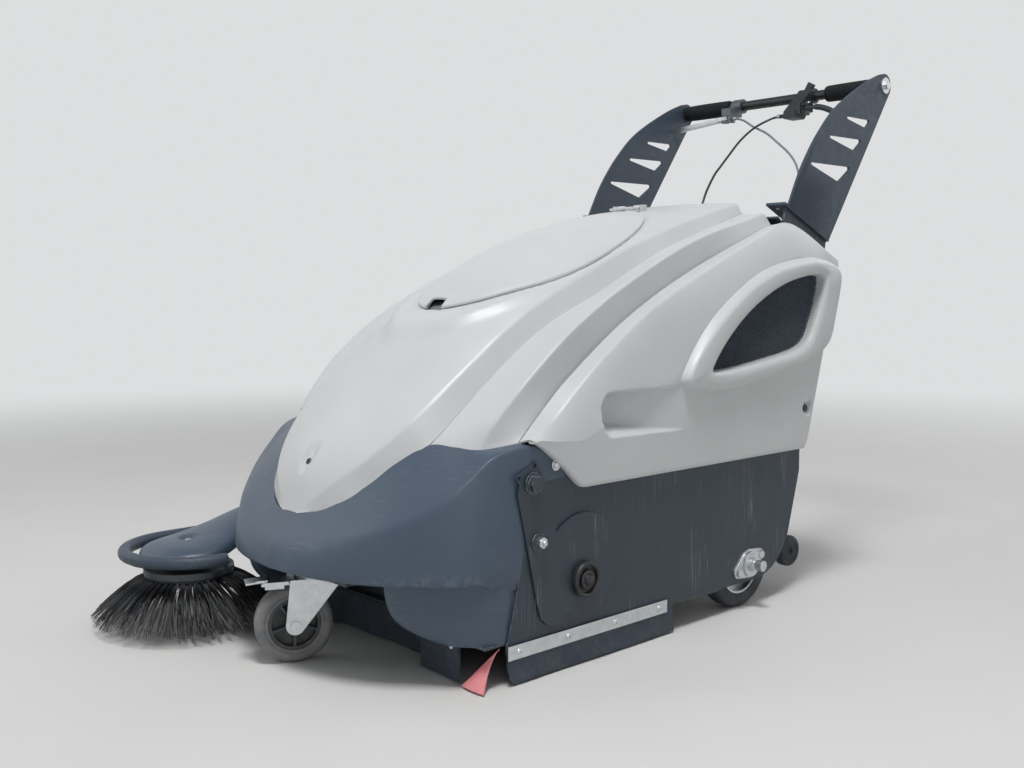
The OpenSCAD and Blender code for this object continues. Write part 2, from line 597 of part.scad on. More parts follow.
// Fasteners on the covers, strips and panels
strip_screws = [22, 128, 238, 350];
module pan_head(y, z, x0, r) {
    rod(x0, x0 + 2.5, y, z, r);
    rod(x0 - 6, x0, y, z, r / 2);
}
module panel_screws() color(zinc) place() {
    both() {
        pan_head(787, 364, panel_x - 1, 7);
        for (y = strip_screws) rod(half_w + 4.5, half_w + 7, y, 52, 4.5);
        rod(half_w, half_w + 6, 101, 326, 5, 6);
    }
    translate([0, -143, 330]) rotate([52, 0, 0]) cylinder(r = 6, h = 3);
}

// Caster: fixed plate with its raceway and kingpin, fork, wheel and brake pedal
fork_z = 136.5;
fork_in = 22;
fork_out = 25;
pedal_y = -44;
pedal_z = 132;
module caster_plate() color(zinc) place() translate([0, king_y, 0]) {
    translate([-52, -42, 150]) cube([104, 84, 5]);
    translate([0, 0, fork_z + pass_gap]) cylinder(r = 37, h = 150 - fork_z - pass_gap);
    translate([0, 0, 122]) cylinder(r = 8, h = 20);
    translate([0, 0, 121]) cylinder(r = 13, h = 8, $fn = 6);
    for (x = [-42, 42], y = [-32, 32]) translate([x, y, 145]) cylinder(r = 6.5, h = 5, $fn = 6);
}
module caster_fork() color(zinc) place() at_caster() {
    difference() {
        union() {
            translate([0, 0, 130]) cylinder(r = 36, h = fork_z - 130);
            translate([-fork_out, -38, 130]) cube([2 * fork_out, 60, 3]);
        }
        translate([0, 0, 120]) cylinder(r = 8 + run_gap, h = 30);
    }
    for (x = [-fork_out, fork_in]) side(x, fork_out - fork_in) difference() {
        hull() {
            translate([-52, 124]) square([76, 12]);
            translate([-caster_trail, caster_z]) circle(15);
        }
        translate([pedal_y, pedal_z - 2]) circle(3 + run_gap);
    }
    rod(-30, 30, -caster_trail, caster_z, 5);
    rod(fork_out, fork_out + 6, -caster_trail, caster_z, 9, 6);
    rod(-fork_out - 6, -fork_out, -caster_trail, caster_z, 9, 6);
}
tyre_in = 42;
module caster_tyre() color(rubber) place() at_caster()
    translate([-18, -caster_trail, caster_z]) rotate([0, 90, 0])
    rotate_extrude() polygon(concat([[tyre_in, 2], [caster_z - 12, 0]], arc([caster_z - 8, 8], 8, -90, 0, 5),
        arc([caster_z - 8, 28], 8, 0, 90, 5), [[caster_z - 12, 36], [tyre_in, 34]]));
module caster_hub() color(slate) place() at_caster()
    translate([-21, -caster_trail, caster_z]) rotate([0, 90, 0])
    difference() {
        union() {
            translate([0, 0, 6]) cylinder(r = tyre_in, h = 30);
            cylinder(r = 12, h = 42);
        }
        for (z = [5, 25]) translate([0, 0, z]) difference() {
            cylinder(r = 36, h = 12);
            translate([0, 0, -1]) cylinder(r = 15, h = 14);
            for (a = [0 : 72 : 288]) rotate([0, 0, a]) translate([0, -2.5, -1]) cube([40, 5, 14]);
        }
        translate([0, 0, -1]) cylinder(r = 5 + run_gap, h = 44);
    }
pedal_reach = 120;
module caster_brake() color(zinc) place() at_caster() {
    rod(-fork_out, fork_out, pedal_y, pedal_z - 2, 3);
    translate([-20, -pedal_reach + 24, pedal_z - 4]) cube([40, pedal_reach - 28 + pedal_y + 4, 4]);
    translate([-21, -pedal_reach + 26, pedal_z]) cube([42, 40, 2]);
    for (x = [-21, 19]) translate([x, -pedal_reach + 29, pedal_z - 9]) cube([2, 30, 9]);
    translate([-16, -pedal_reach, pedal_z - 1]) rotate([6, 0, 0]) cube([32, 34, 3]);
}

// Drive axle, bearings, wheels and gear motor
axle_r = axle_d / 2;
stub_r = 10;
bearing_tilt = 20;
module axle_bearings() color(zinc) place() both() translate([half_w, axle_y, axle_z]) rotate([90, 0, 90])
    difference() {
        union() {
            linear_extrude(5) rotate(bearing_tilt) hull() {
                circle(27);
                for (s = [-36, 36]) translate([s, 0]) circle(11);
            }
            translate([0, 0, 5]) cylinder(r = 24, h = 7);
            for (s = [-36, 36]) rotate(bearing_tilt) translate([s, 0, 5]) cylinder(r = 8, h = 6, $fn = 6);
        }
        translate([0, 0, -1]) cylinder(r = axle_r + run_gap, h = 20);
    }
module drive_axle() color(zinc) place() {
    rod(-axle_end + 16, axle_end - 16, axle_y, axle_z, axle_r);
    rod(-axle_end, axle_end, axle_y, axle_z, stub_r);
}
wheel_in = 258;
wheel_out = 298;
rim_r = 60;
module wheel_rims() color(zinc) place() both() translate([wheel_in + 4, axle_y, axle_z]) rotate([0, 90, 0])
    difference() {
        union() {
            cylinder(r = 22, h = 32);
            translate([0, 0, 14]) cylinder(r = rim_r, h = 4);
            difference() {
                cylinder(r = rim_r, h = 32);
                translate([0, 0, -1]) cylinder(r = rim_r - 4, h = 34);
            }
        }
        translate([0, 0, -1]) cylinder(r = axle_r, h = 40);
    }
module wheel_tyres() color(rubber) place() both() translate([wheel_in, axle_y, axle_z]) rotate([0, 90, 0])
    rotate_extrude() polygon(concat(
        [[rim_r, 3]], arc([axle_z - 9, 9], 9, -90, 0, 5), arc([axle_z - 9, 31], 9, 0, 90, 5), [[rim_r, 37]]));
module drive_motor() color(slate) place() difference() {
    union() {
        translate([-55, 560, 50]) cube([110, 100, 72]);
        translate([0, 480, 88]) rotate([-90, 0, 0]) cylinder(r = 38, h = 82);
    }
    rod(-60, 60, axle_y, axle_z, axle_r + run_gap);
}

// Rubber skirts and flaps with their zinc strips
skirt_low = 4;
module side_skirts() color(rubber) place() both() side(half_w, 3)
    polygon([[5, skirt_low + 8], [14, skirt_low],
    [393, skirt_low], [386, 58], [378, 62], [2, 62], [0, 40]]);
module front_strip(len)
    translate([150, -40.1, 50]) rotate([0, 0, atan2(-6, 100)]) translate([0, -1.5, 0]) cube([len, 1.4, 14]);
module skirt_strips() color(zinc) place() {
    both() side(half_w + 3, 1.5) polygon([[0, 41], [372, 41], [372, 63], [0, 63]]);
    front_strip(99);
    mirror([1, 0, 0]) front_strip(69);
}
module rubber_flaps() color(rubber) place() {
    translate([0, 0, skirt_low]) linear_extrude(60 - skirt_low + 4)
        polygon(concat(flap_plan, [for (k = [5 : -1 : 0]) flap_plan[k] + [0, 4]]));
    translate([-inner, 306, skirt_low]) cube([2 * inner, 4, 66]);
}
// Loose triangular corner flap beside the front flap
corner_pts = [[304, -10, 61], [262, -50, 4], [314, -52, 4]];
module corner_flaps() color(red) place() {
    n = 1.5 * unit(cross(corner_pts[1] - corner_pts[0], corner_pts[2] - corner_pts[0]));
    p = concat([for (c = corner_pts) c + n], [for (c = corner_pts) c - n], [corner_pts[0] + [4, 8, 0]]);
    polyhedron(points = [for (k = [0 : 5]) p[k]],
        faces = [[0, 2, 1], [3, 4, 5], [0, 1, 4], [0, 4, 3], [1, 2, 5], [1, 5, 4], [2, 0, 3], [2, 3, 5]]);
}

// Hanging plates that carry the main brush
hang_out = half_w + 1 + 3;
module hang_plate(x0, pivot_r) side(x0, 3) difference() {
    union() {
        hull() {
            translate(pivot - [0, 14]) circle(30);
            translate([97, 111]) circle(34);
        }
        translate([160, 163]) circle(81);
        polygon([[14, 316], [56, 336], [86, 292], [44, 272]]);
    }
    translate(pivot) circle(pivot_r + run_gap);
    translate(stop) circle(13);
    for (p = [[21, 314], [54, 330]]) translate(p) circle(3);
    translate([brush_y, brush_z]) circle(shaft_r + run_gap);
}
module brush_arm_left() color(dark) place() hang_plate(half_w + 1, 8);
module brush_arm_right() color(dark) place() hang_plate(-hang_out, boss_r);
module pivot_studs() color(slate) place() {
    rod(inner - 4, hang_out + 10, pivot.x, pivot.y, 8);
    rod(hang_out + pass_gap, hang_out + 3, pivot.x, pivot.y, 17);
    rod(hang_out + 3, hang_out + 12, pivot.x, pivot.y, 13, 6);
    both() {
        rod(inner, hang_out + 16, stop.x, stop.y, 4);
        rod(hang_out + pass_gap, hang_out + 2.5, stop.x, stop.y, 14);
        rod(hang_out + 2.5, hang_out + 13, stop.x, stop.y, 8.5, 6);
    }
}

// Main brush: core with its shaft and pulley, bristles, knobs, motor and belt
bristle_half = 286;
module brush_core() color(slate) place() {
    rod(-296, 296, brush_y, brush_z, core_r);
    rod(belt_x - 6, hang_out + 8, brush_y, brush_z, shaft_r);
    rod(belt_x, belt_x + belt_w, brush_y, brush_z, brush_pulley_r);
}
module brush_bristles() color(black) place() translate([0, brush_y, brush_z]) resize([0, 0, 0]) union() {
    rotate([0, 90, 0]) difference() {
        cylinder(r = core_r + 4, h = 2 * bristle_half, center = true, $fn = 36);
        cylinder(r = core_r + 0.6, h = 2 * bristle_half + 2, center = true, $fn = 36);
    }
    for (k = [0 : brush_rows - 1], i = [0 : row_bristles - 1]) {
        x = mix(-bristle_half + 12, bristle_half - 12, i / (row_bristles - 1));
        a = 360 * k / brush_rows + x * 0.05;
        strand([x, (core_r + 2) * cos(a), (core_r + 2) * sin(a)],
               [x, (brush_d / 2 - 1) * cos(a), (brush_d / 2 - 1) * sin(a)], 2.6, 1.4);
    }
}
knob_r = 25;
module brush_knobs() color(black) place() {
    difference() {
        union() {
            rod(hang_out + pass_gap, hang_out + 8, brush_y, brush_z, knob_r - 5);
            rod(hang_out + 8, hang_out + 24, brush_y, brush_z, knob_r);
        }
        rod(hang_out + 20, hang_out + 30, brush_y, brush_z, knob_r - 6);
        rod(hang_out - 1, hang_out + 8, brush_y, brush_z, shaft_r);
    }
    rod(hang_out + 16, hang_out + 24, brush_y, brush_z, 8);
    rod(belt_x - 18, belt_x - 6, brush_y, brush_z, knob_r);
}
motor_end = -288;
module brush_motor() color(slate) place() difference() {
    union() {
        rod(motor_end, -150, pivot.x, pivot.y, 38);
        rod(-hang_out - 0.2, motor_end, pivot.x, pivot.y, boss_r);
    }
    rod(-hang_out - 5, -inner + 12, pivot.x, pivot.y, 6 + run_gap);
}
module motor_pulley() color(zinc) place() {
    rod(belt_x, belt_x + belt_w, pivot.x, pivot.y, motor_pulley_r);
    rod(belt_x + belt_w, -inner + 8, pivot.x, pivot.y, 6);
}
module belt_line(grow) hull() {
    translate(pivot) circle(motor_pulley_r + grow);
    translate([brush_y, brush_z]) circle(brush_pulley_r + grow);
}
module brush_belt() color(black) place() side(belt_x + 0.5, belt_w - 1) difference() {
    belt_line(4);
    belt_line(pass_gap);
}

// Inside: batteries, fan, filter
module batteries() color(black) place() for (x = [-150, 4]) {
    translate([x, 268, deck_z + 4]) cube([146, 260, 160]);
    for (y = [300, 496]) translate([x + 40, y, deck_z + 164]) cylinder(r = 8, h = 10);
}
module suction_fan() color(slate) place() difference() {
    union() {
        translate([0, 610, deck_z + 4]) cylinder(r = 68, h = 60);
        translate([-40, 540, deck_z + 4]) cube([40, 70, 60]);
        translate([0, 610, deck_z + 64]) cylinder(r = 34, h = 50);
    }
    translate([-34, 535, deck_z + 10]) cube([28, 60, 48]);
}
module panel_filter() color("#b8ad92") place() difference() {
    translate([-200, 330, deck_z - 20]) cube([400, 240, 20]);
    for (x = [-190 : 20 : 170]) translate([x, 340, deck_z - 25]) cube([12, 220, 18]);
}

// Side brush on its lifting arm
arm_plate_z = 138;
lift_out = -345;
ring_r = 118;
ring_z = 134;
tube_r = 11;
bar_low = ring_z - tube_r - 5;
module side_arm_bracket() color(slate) place() {
    translate([-inner + 8, lift_pivot.x - 12, lift_pivot.y - 18])
        cube([30, front_wall_y - lift_pivot.x + 12, 36]);
    rod(lift_out - 6, -inner + 8, lift_pivot.x, lift_pivot.y, lift_pin_r);
    rod(lift_out - 10, lift_out - pass_gap, lift_pivot.x, lift_pivot.y, 13);
}
module side_arm() color(slate) place() {
    translate([brush_side_x, brush_side_y, arm_plate_z]) cylinder(r = 44, h = 3);
    translate([brush_side_x, -186, arm_plate_z]) cube([57, 18, 3]);
    translate([-362, brush_side_y, arm_plate_z]) cube([8, 56, 3]);
    difference() {
        union() {
            rod(lift_out, -318, lift_pivot.x, lift_pivot.y, 15);
            side(lift_out, 17) polygon([[-150, arm_plate_z], [-92, arm_plate_z], [8, 191], [8, 202],
                [-98, arm_plate_z + 6], [-150, arm_plate_z + 3]]);
        }
        rod(-400, -300, lift_pivot.x, lift_pivot.y, lift_pin_r + run_gap);
    }
    translate([-276, -186, bar_low]) cube([78, 18, 5]);
    translate([-276, -186, bar_low]) cube([8, 18, arm_plate_z - bar_low]);
    translate([-442, -150, bar_low]) cube([88, 18, 5]);
    translate([-362, -150, bar_low]) cube([8, 18, arm_plate_z - bar_low]);
}
// Cover: front round about the brush axis, drawn out to the pivot behind
cover_rows = [-272, -266, -252, -230, -205, -180, -150, -120, -90, -60, -36, -14];
cover_half = [[-272, 14], [-266, 32], [-252, 55], [-230, 73], [-205, 83], [-180, 85], [-150, 78],
    [-120, 66], [-90, 54],
    [-60, 42], [-36, 37], [-14, 34]];
cover_mid = [[-272, -325], [-180, -325], [-120, -334], [-60, -346], [-14, -350]];
cover_top = [[-272, 132], [-252, 143], [-230, 149], [-188, 154], [-150, 162], [-90, 180],
    [-36, 195], [-14, 203]];
cover_low = [[-272, 126], [-188, 126], [-120, 137], [-60, 159], [-14, 176]];
cover_turn = [for (a = [180 : -18 : 0]) a];
function cover_point(y, a) = [curve(cover_mid, y) + curve(cover_half, y) * cos(a), y,
    mix(curve(cover_low, y), curve(cover_top, y), max(0, sin(a)) ^ 0.75)];
module side_brush_cover() color(slate) place()
    shell([for (y = cover_rows) [for (a = cover_turn) cover_point(y, a)]], 2.5);
module ring_guard() color(slate) place() translate([-320, -180, ring_z]) {
    rotate_extrude(start = 180, angle = 180) translate([ring_r, 0]) circle(tube_r);
    translate([-ring_r, 0, 0]) rotate([-90, 0, 0]) cylinder(r = tube_r, h = 70);
}
module side_brush_motor() color(black) place() translate([brush_side_x, brush_side_y, 0]) difference() {
    translate([0, 0, 108]) cylinder(r = 40, h = arm_plate_z - 108);
    translate([0, 0, 100]) cylinder(r = 8 + run_gap, h = 40);
}
disc_z = 92;
module side_brush_disc() color(slate) place() translate([brush_side_x, brush_side_y, 0]) {
    translate([0, 0, disc_z]) cylinder(r = 78, h = 12);
    translate([0, 0, disc_z]) cylinder(r = 8, h = 44);
}
module side_brush_bristles() color(black) place()
    translate([brush_side_x, brush_side_y, 0]) resize([0, 0, 0]) union() {
    translate([0, 0, disc_z - 4]) cylinder(r = 77, h = 4, $fn = 48);
    for (ring = [0 : 2], i = [0 : ring_bristles - 1]) {
        a = 360 * i / ring_bristles + 180;
        root = 48 + 12 * ring;
        tip = side_tip_r - 20 * (2 - ring) - 0.2;
        strand([root * cos(a), root * sin(a), disc_z - 2],
            [tip * cos(a), tip * sin(a), side_tip_z + 3 * (2 - ring)],
            1.7, 1.1);
    }
}

// Dust hopper that slides out to the rear on its two small wheels
hopper_half = 250;
module hopper() color(black) place() difference() {
    union() {
        difference() {
            translate([-hopper_half, 314, 135]) cube([2 * hopper_half, 480, 265]);
            translate([-hopper_half + 4, 318, 139]) cube([2 * hopper_half - 8, 472, 300]);
            translate([-hopper_half + 4, 300, 215]) cube([2 * hopper_half - 8, 40, 160]);
            translate([-90, 780, 330]) cube([180, 30, 36]);
        }
        both() side(hopper_half - 8, 8)
            polygon([[770, 140], [794, 140], [828, 84], [820, 56], [796, 56], [770, 120]]);
    }
    rod(-300, 300, hopper_axle.x, hopper_axle.y, 5 + run_gap);
}
module hopper_wheels() color(rubber) place() {
    rod(-284, 284, hopper_axle.x, hopper_axle.y, 5);
    both() translate([hopper_half + pass_gap + 4, hopper_axle.x, hopper_axle.y]) rotate([0, 90, 0])
        rotate_extrude()
        polygon(concat([[4, 0], [hopper_wheel_d / 2 - 12, 0], [hopper_wheel_d / 2 - 9, 2]],
            arc([hopper_wheel_d / 2 - 6, 6], 6, -90, 0, 5), arc([hopper_wheel_d / 2 - 6, 18], 6, 0, 90, 5),
            [[hopper_wheel_d / 2 - 9, 22], [hopper_wheel_d / 2 - 12, 24], [4, 24]]));
}

chassis_frame();
side_plate_left();
side_plate_right();
front_bumper();
hood();
side_panel_left();
side_panel_right();
vent_meshes();
panel_screws();
control_panel();
rear_cover();
arm_left();
arm_right();
arm_bolts();
handlebar();
grips();
brake_clamp();
drive_housing();
brake_cable();
drive_cable();
caster_plate();
axle_bearings();
pivot_studs();
side_skirts();
skirt_strips();
rubber_flaps();
corner_flaps();
brush_motor();
drive_motor();
batteries();
suction_fan();
panel_filter();
side_arm_bracket();
lid_hinge();
lid();
brush_arm_left();
brush_arm_right();
brush_belt();
brush_core();
brush_bristles();
brush_knobs();
motor_pulley();
drive_axle();
wheel_rims();
wheel_tyres();
caster_fork();
caster_tyre();
caster_hub();
caster_brake();
side_arm();
side_brush_cover();
ring_guard();
side_brush_motor();
side_brush_disc();
side_brush_bristles();
hopper();
hopper_wheels();
brake_lever();
drive_lever();
key_switch();
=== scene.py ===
"""Walk behind sweeper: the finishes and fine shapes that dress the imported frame.

Drawing sizes are in millimetres, with the front at -Y, the operator at +Y and the side brush at -X.
"""

import json
import logging
import math
import random
from dataclasses import dataclass
from enum import Enum
from typing import Callable, Iterable, Sequence

import bmesh
import bpy
from mathutils import Euler, Matrix, Vector
from mathutils.geometry import intersect_line_line_2d

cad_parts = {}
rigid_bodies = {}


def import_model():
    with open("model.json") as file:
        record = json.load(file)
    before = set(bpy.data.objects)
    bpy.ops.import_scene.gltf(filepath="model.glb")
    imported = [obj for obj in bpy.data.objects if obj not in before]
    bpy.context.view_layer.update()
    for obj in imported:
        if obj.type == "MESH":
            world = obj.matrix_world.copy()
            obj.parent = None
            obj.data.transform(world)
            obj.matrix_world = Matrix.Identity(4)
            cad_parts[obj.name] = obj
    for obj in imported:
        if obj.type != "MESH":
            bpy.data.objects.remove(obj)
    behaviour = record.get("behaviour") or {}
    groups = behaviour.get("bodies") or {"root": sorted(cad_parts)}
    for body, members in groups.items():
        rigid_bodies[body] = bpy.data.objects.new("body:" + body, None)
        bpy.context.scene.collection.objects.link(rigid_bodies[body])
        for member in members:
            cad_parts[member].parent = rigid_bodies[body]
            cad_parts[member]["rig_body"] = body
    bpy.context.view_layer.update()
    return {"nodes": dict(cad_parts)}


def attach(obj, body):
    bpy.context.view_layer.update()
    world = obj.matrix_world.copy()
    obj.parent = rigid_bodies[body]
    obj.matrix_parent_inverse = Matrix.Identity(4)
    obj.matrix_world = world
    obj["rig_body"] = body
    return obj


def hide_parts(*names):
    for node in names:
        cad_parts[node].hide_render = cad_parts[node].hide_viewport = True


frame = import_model()

LOG = logging.getLogger("sweeper")
PER_M = 1000.0  # millimetres in a metre
MIDDLE = Vector((-74.0, 408.0, 0.0))  # origin of the row frame in the drawing
X, Y, Z = Vector((1, 0, 0)), Vector((0, 1, 0)), Vector((0, 0, 1))
SIDES = (1.0, -1.0)  # the photographed side and its mirror image
EDGE, TONE = "edge", "shade"  # mesh attributes: how worn a place is, how pale a strand is
Table = Flat = Sequence[tuple[float, float]]
Route = Sequence[tuple[float, float, float]]
Surface = Callable[[float, float], Vector]
Mesh, Vert, Face = bmesh.types.BMesh, bmesh.types.BMVert, bmesh.types.BMFace
Piece, Tree, Socket = bpy.types.Object, bpy.types.NodeTree, bpy.types.NodeSocket


# ---------------------------------------------------------------- measuring


def mm(x: float, y: float, z: float) -> Vector:
    """Place in the row frame, in metres, of a point of the drawing in millimetres."""
    return (Vector((x, y, z)) - MIDDLE) / PER_M


def drawn(place: Vector) -> Vector:
    """Point of the drawing, in millimetres, of a place in the row frame."""
    return place * PER_M + MIDDLE


def mix(a: float, b: float, t: float) -> float:
    """Value between a and b."""
    return a + (b - a) * t


def clamp(t: float) -> float:
    """Value held between 0 and 1."""
    return min(1.0, max(0.0, t))


def ease(t: float) -> float:
    """Smooth step from 0 to 1."""
    t = clamp(t)
    return t * t * (3.0 - 2.0 * t)


def pick(values: Sequence[float], t: float) -> float:
    """Value at a share of a list."""
    return values[round(t * (len(values) - 1))]


def dimple(u: float, v: float, deep: float, soft: float) -> float:
    """Depth of a round dimple at shares u and v of its radius, with a soft edge."""
    return deep * ease((1.0 - u ** 2 - v ** 2) / soft)


def mirrored(half: Flat, width: float) -> list[tuple[float, float]]:
    """Far half of a wheel's profile."""
    return [(r, width - h) for r, h in reversed(half)]


def curve(table: Table, t: float) -> float:
    """Smooth value of a table of pairs.

    Args:
        table: pairs of place and value, in rising order of place.
        t: the place asked for.

    Returns:
        The value of a smooth line through the pairs.
    """
    last = len(table) - 1
    i = 0
    while i < last - 1 and t >= table[i + 1][0]:
        i += 1

    def rise(k: int) -> float:
        """Slope of the line at pair k."""
        a, b = table[max(k - 1, 0)], table[min(k + 1, last)]
        return (b[1] - a[1]) / (b[0] - a[0])

    h = table[i + 1][0] - table[i][0]
    u = clamp((t - table[i][0]) / h)
    return ((2 * u**3 - 3 * u**2 + 1) * table[i][1] + (u**3 - 2 * u**2 + u) * h * rise(i)
            + (3 * u**2 - 2 * u**3) * table[i + 1][1] + (u**3 - u**2) * h * rise(i + 1))


def station(x: Table, y: float, z: Table) -> Vector:
    """Point at y of the line that two tables draw."""
    return Vector((curve(x, y), y, curve(z, y)))


def straight(table: Table, t: float) -> float:
    """Value of a table of pairs on straight lines between them.

    Args:
        table: pairs of place and value, in rising order of place.
        t: the place asked for.

    Returns:
        The value.
    """
    for (t0, a), (t1, b) in zip(table, table[1:]):
        if t <= t1:
            return mix(a, b, clamp((t - t0) / (t1 - t0)))
    return table[-1][1]


def spline(p: Sequence[Vector], closed: bool, steps: int) -> list[Vector]:
    """Smooth line through points.

    Args:
        p: the points.
        closed: whether the line comes back to its start.
        steps: steps between two points.

    Returns:
        The points of the smooth line.
    """
    n = len(p)
    line: list[Vector] = []

    def pick(k: int) -> Vector:
        """Point k, counted on past either end."""
        return p[k % n] if closed else p[min(max(k, 0), n - 1)]

    for i in range(n if closed else n - 1):
        p0, p1, p2, p3 = pick(i - 1), pick(i), pick(i + 1), pick(i + 2)
        for k in range(steps):
            u = k / steps
            line.append(p1 + (p2 - p0) * (u / 2) + (p0 - p1 * 2.5 + p2 * 2 - p3 / 2) * u**2
                        + (p1 * 1.5 - p0 / 2 - p2 * 1.5 + p3 / 2) * u**3)
    return line if closed else line + [p[-1].copy()]


def bend(a: Vector, b: Vector, c: Vector, t: float) -> Vector:
    """Point of a round corner from a to c whose tip would be b."""
    return a * (1 - t) ** 2 + b * (2 * t * (1 - t)) + c * t**2


def evenly(p: Sequence[Vector], count: int, closed: bool = False) -> list[Vector]:
    """Points at equal distances along a line of points.

    Args:
        p: the line.
        count: how many points to return.
        closed: whether the line comes back to its start.

    Returns:
        The evenly spaced points.
    """
    line = list(p) + ([p[0]] if closed else [])
    gone = [0.0]
    for a, b in zip(line, line[1:]):
        gone.append(gone[-1] + (b - a).length)
    found: list[Vector] = []
    k = 0
    for i in range(count):
        want = gone[-1] * i / (count if closed else count - 1)
        while k < len(line) - 2 and gone[k + 1] < want:
            k += 1
        span = max(gone[k + 1] - gone[k], 1e-9)
        found.append(line[k].lerp(line[k + 1], min(1.0, (want - gone[k]) / span)))
    return found


def gap_to(outline: Sequence[Vector], y: float, z: float) -> float:
    """Distance of a point to a closed outline, below zero inside it.

    Args:
        outline: points of the outline in a plane.
        y: first coordinate of the point.
        z: second coordinate of the point.

    Returns:
        The signed distance.
    """
    best, inside = 1e9, False
    for a, b in zip(outline, list(outline[1:]) + [outline[0]]):
        dy, dz = b.x - a.x, b.y - a.y
        t = clamp(((y - a.x) * dy + (z - a.y) * dz) / (dy * dy + dz * dz))
        best = min(best, math.hypot(y - a.x - t * dy, z - a.y - t * dz))
        if (a.y > z) != (b.y > z) and y < a.x + (z - a.y) / dz * dy:
            inside = not inside
    return -best if inside else best


# ---------------------------------------------------------------- finishes


def linear(colour: str) -> tuple[float, float, float, float]:
    """Linear colour of an sRGB hex value.

    Args:
        colour: the hex value, with its #.

    Returns:
        Red, green, blue and alpha.
    """
    parts = [int(colour[k:k + 2], 16) / 255.0 for k in (1, 3, 5)]
    r, g, b = [c / 12.92 if c <= 0.04045 else ((c + 0.055) / 1.055) ** 2.4 for c in parts]
    return r, g, b, 1.0


def feed(tree: Tree, node: bpy.types.Node, links: dict) -> None:
    """Gives each named input of a node its value, or the output that feeds it.

    Args:
        tree: the nodes' tree.
        node: the node.
        links: for each input, a value or an output.
    """
    for key, value in links.items():
        if isinstance(value, Socket):
            tree.links.new(value, node.inputs[key])
        else:
            node.inputs[key].default_value = value


def add_node(tree: Tree, kind: str, settings: dict | None = None,
             links: dict | None = None) -> bpy.types.Node:
    """Adds a node to a material.

    Args:
        tree: the material's nodes.
        kind: Blender's name of the node.
        settings: values of the node's own properties.
        links: for each input, a value or the output that feeds it.

    Returns:
        The new node.
    """
    made = tree.nodes.new(kind)
    for key, value in (settings or {}).items():
        setattr(made, key, value)
    feed(tree, made, links or {})
    return made


def noise(tree: Tree, place: Socket, size: float, detail: float = 4.0, rough: float = 0.55) -> Socket:
    """Cloudy pattern whose patches are size millimetres wide."""
    return add_node(tree, "ShaderNodeTexNoise", links={
        "Vector": place, "Scale": PER_M / size, "Detail": detail, "Roughness": rough}).outputs[0]


def ranged(tree: Tree, value: Socket, start: float, end: float, first: float, last: float,
           shape: str = "LINEAR") -> Socket:
    """Spreads the values from start to end over those from first to last."""
    return add_node(tree, "ShaderNodeMapRange", {"interpolation_type": shape}, {
        "Value": value, "From Min": start, "From Max": end, "To Min": first, "To Max": last}).outputs[0]


def compute(tree: Tree, operation: str, *values: Socket | float) -> Socket:
    """Result of an operation on values or outputs."""
    return add_node(tree, "ShaderNodeMath", {"operation": operation}, dict(enumerate(values))).outputs[0]


def blend(tree: Tree, share: Socket, first: Socket | tuple[float, ...], second: str) -> Socket:
    """Colour with a share of a second one mixed in."""
    return add_node(tree, "ShaderNodeMix", {"data_type": "RGBA"},
                    {0: share, 6: first, 7: linear(second)}).outputs[2]


def attribute(tree: Tree, name: str) -> Socket:
    """Value of a mesh attribute."""
    return add_node(tree, "ShaderNodeAttribute", {"attribute_name": name}).outputs["Fac"]


class Marks(Enum):
    """Which way a surface is scratched, as the stretch of the marks along x, y and z in millimetres."""

    NONE = (0.0, 0.0, 0.0)
    UPRIGHT = (10.0, 10.0, 560.0)
    LEVEL = (70.0, 190.0, 5.0)
    ALL_WAYS = (26.0, 30.0, 22.0)


class Clouds(Enum):
    """Where a layer lies: its patches' width in millimetres, and the noise where they begin and are full."""

    SCRATCHES = (75.0, 0.5, 0.66)
    DUST = (28.0, 0.38, 0.68)
    WEAR = (9.0, 0.42, 0.6)

    def spread(self, tree: Tree, place: Socket, share: float) -> Socket:
        """How much of the layer lies at a place, up to a share."""
        size, start, full = self.value
        return ranged(tree, noise(tree, place, size), start, full, 0.0, share)


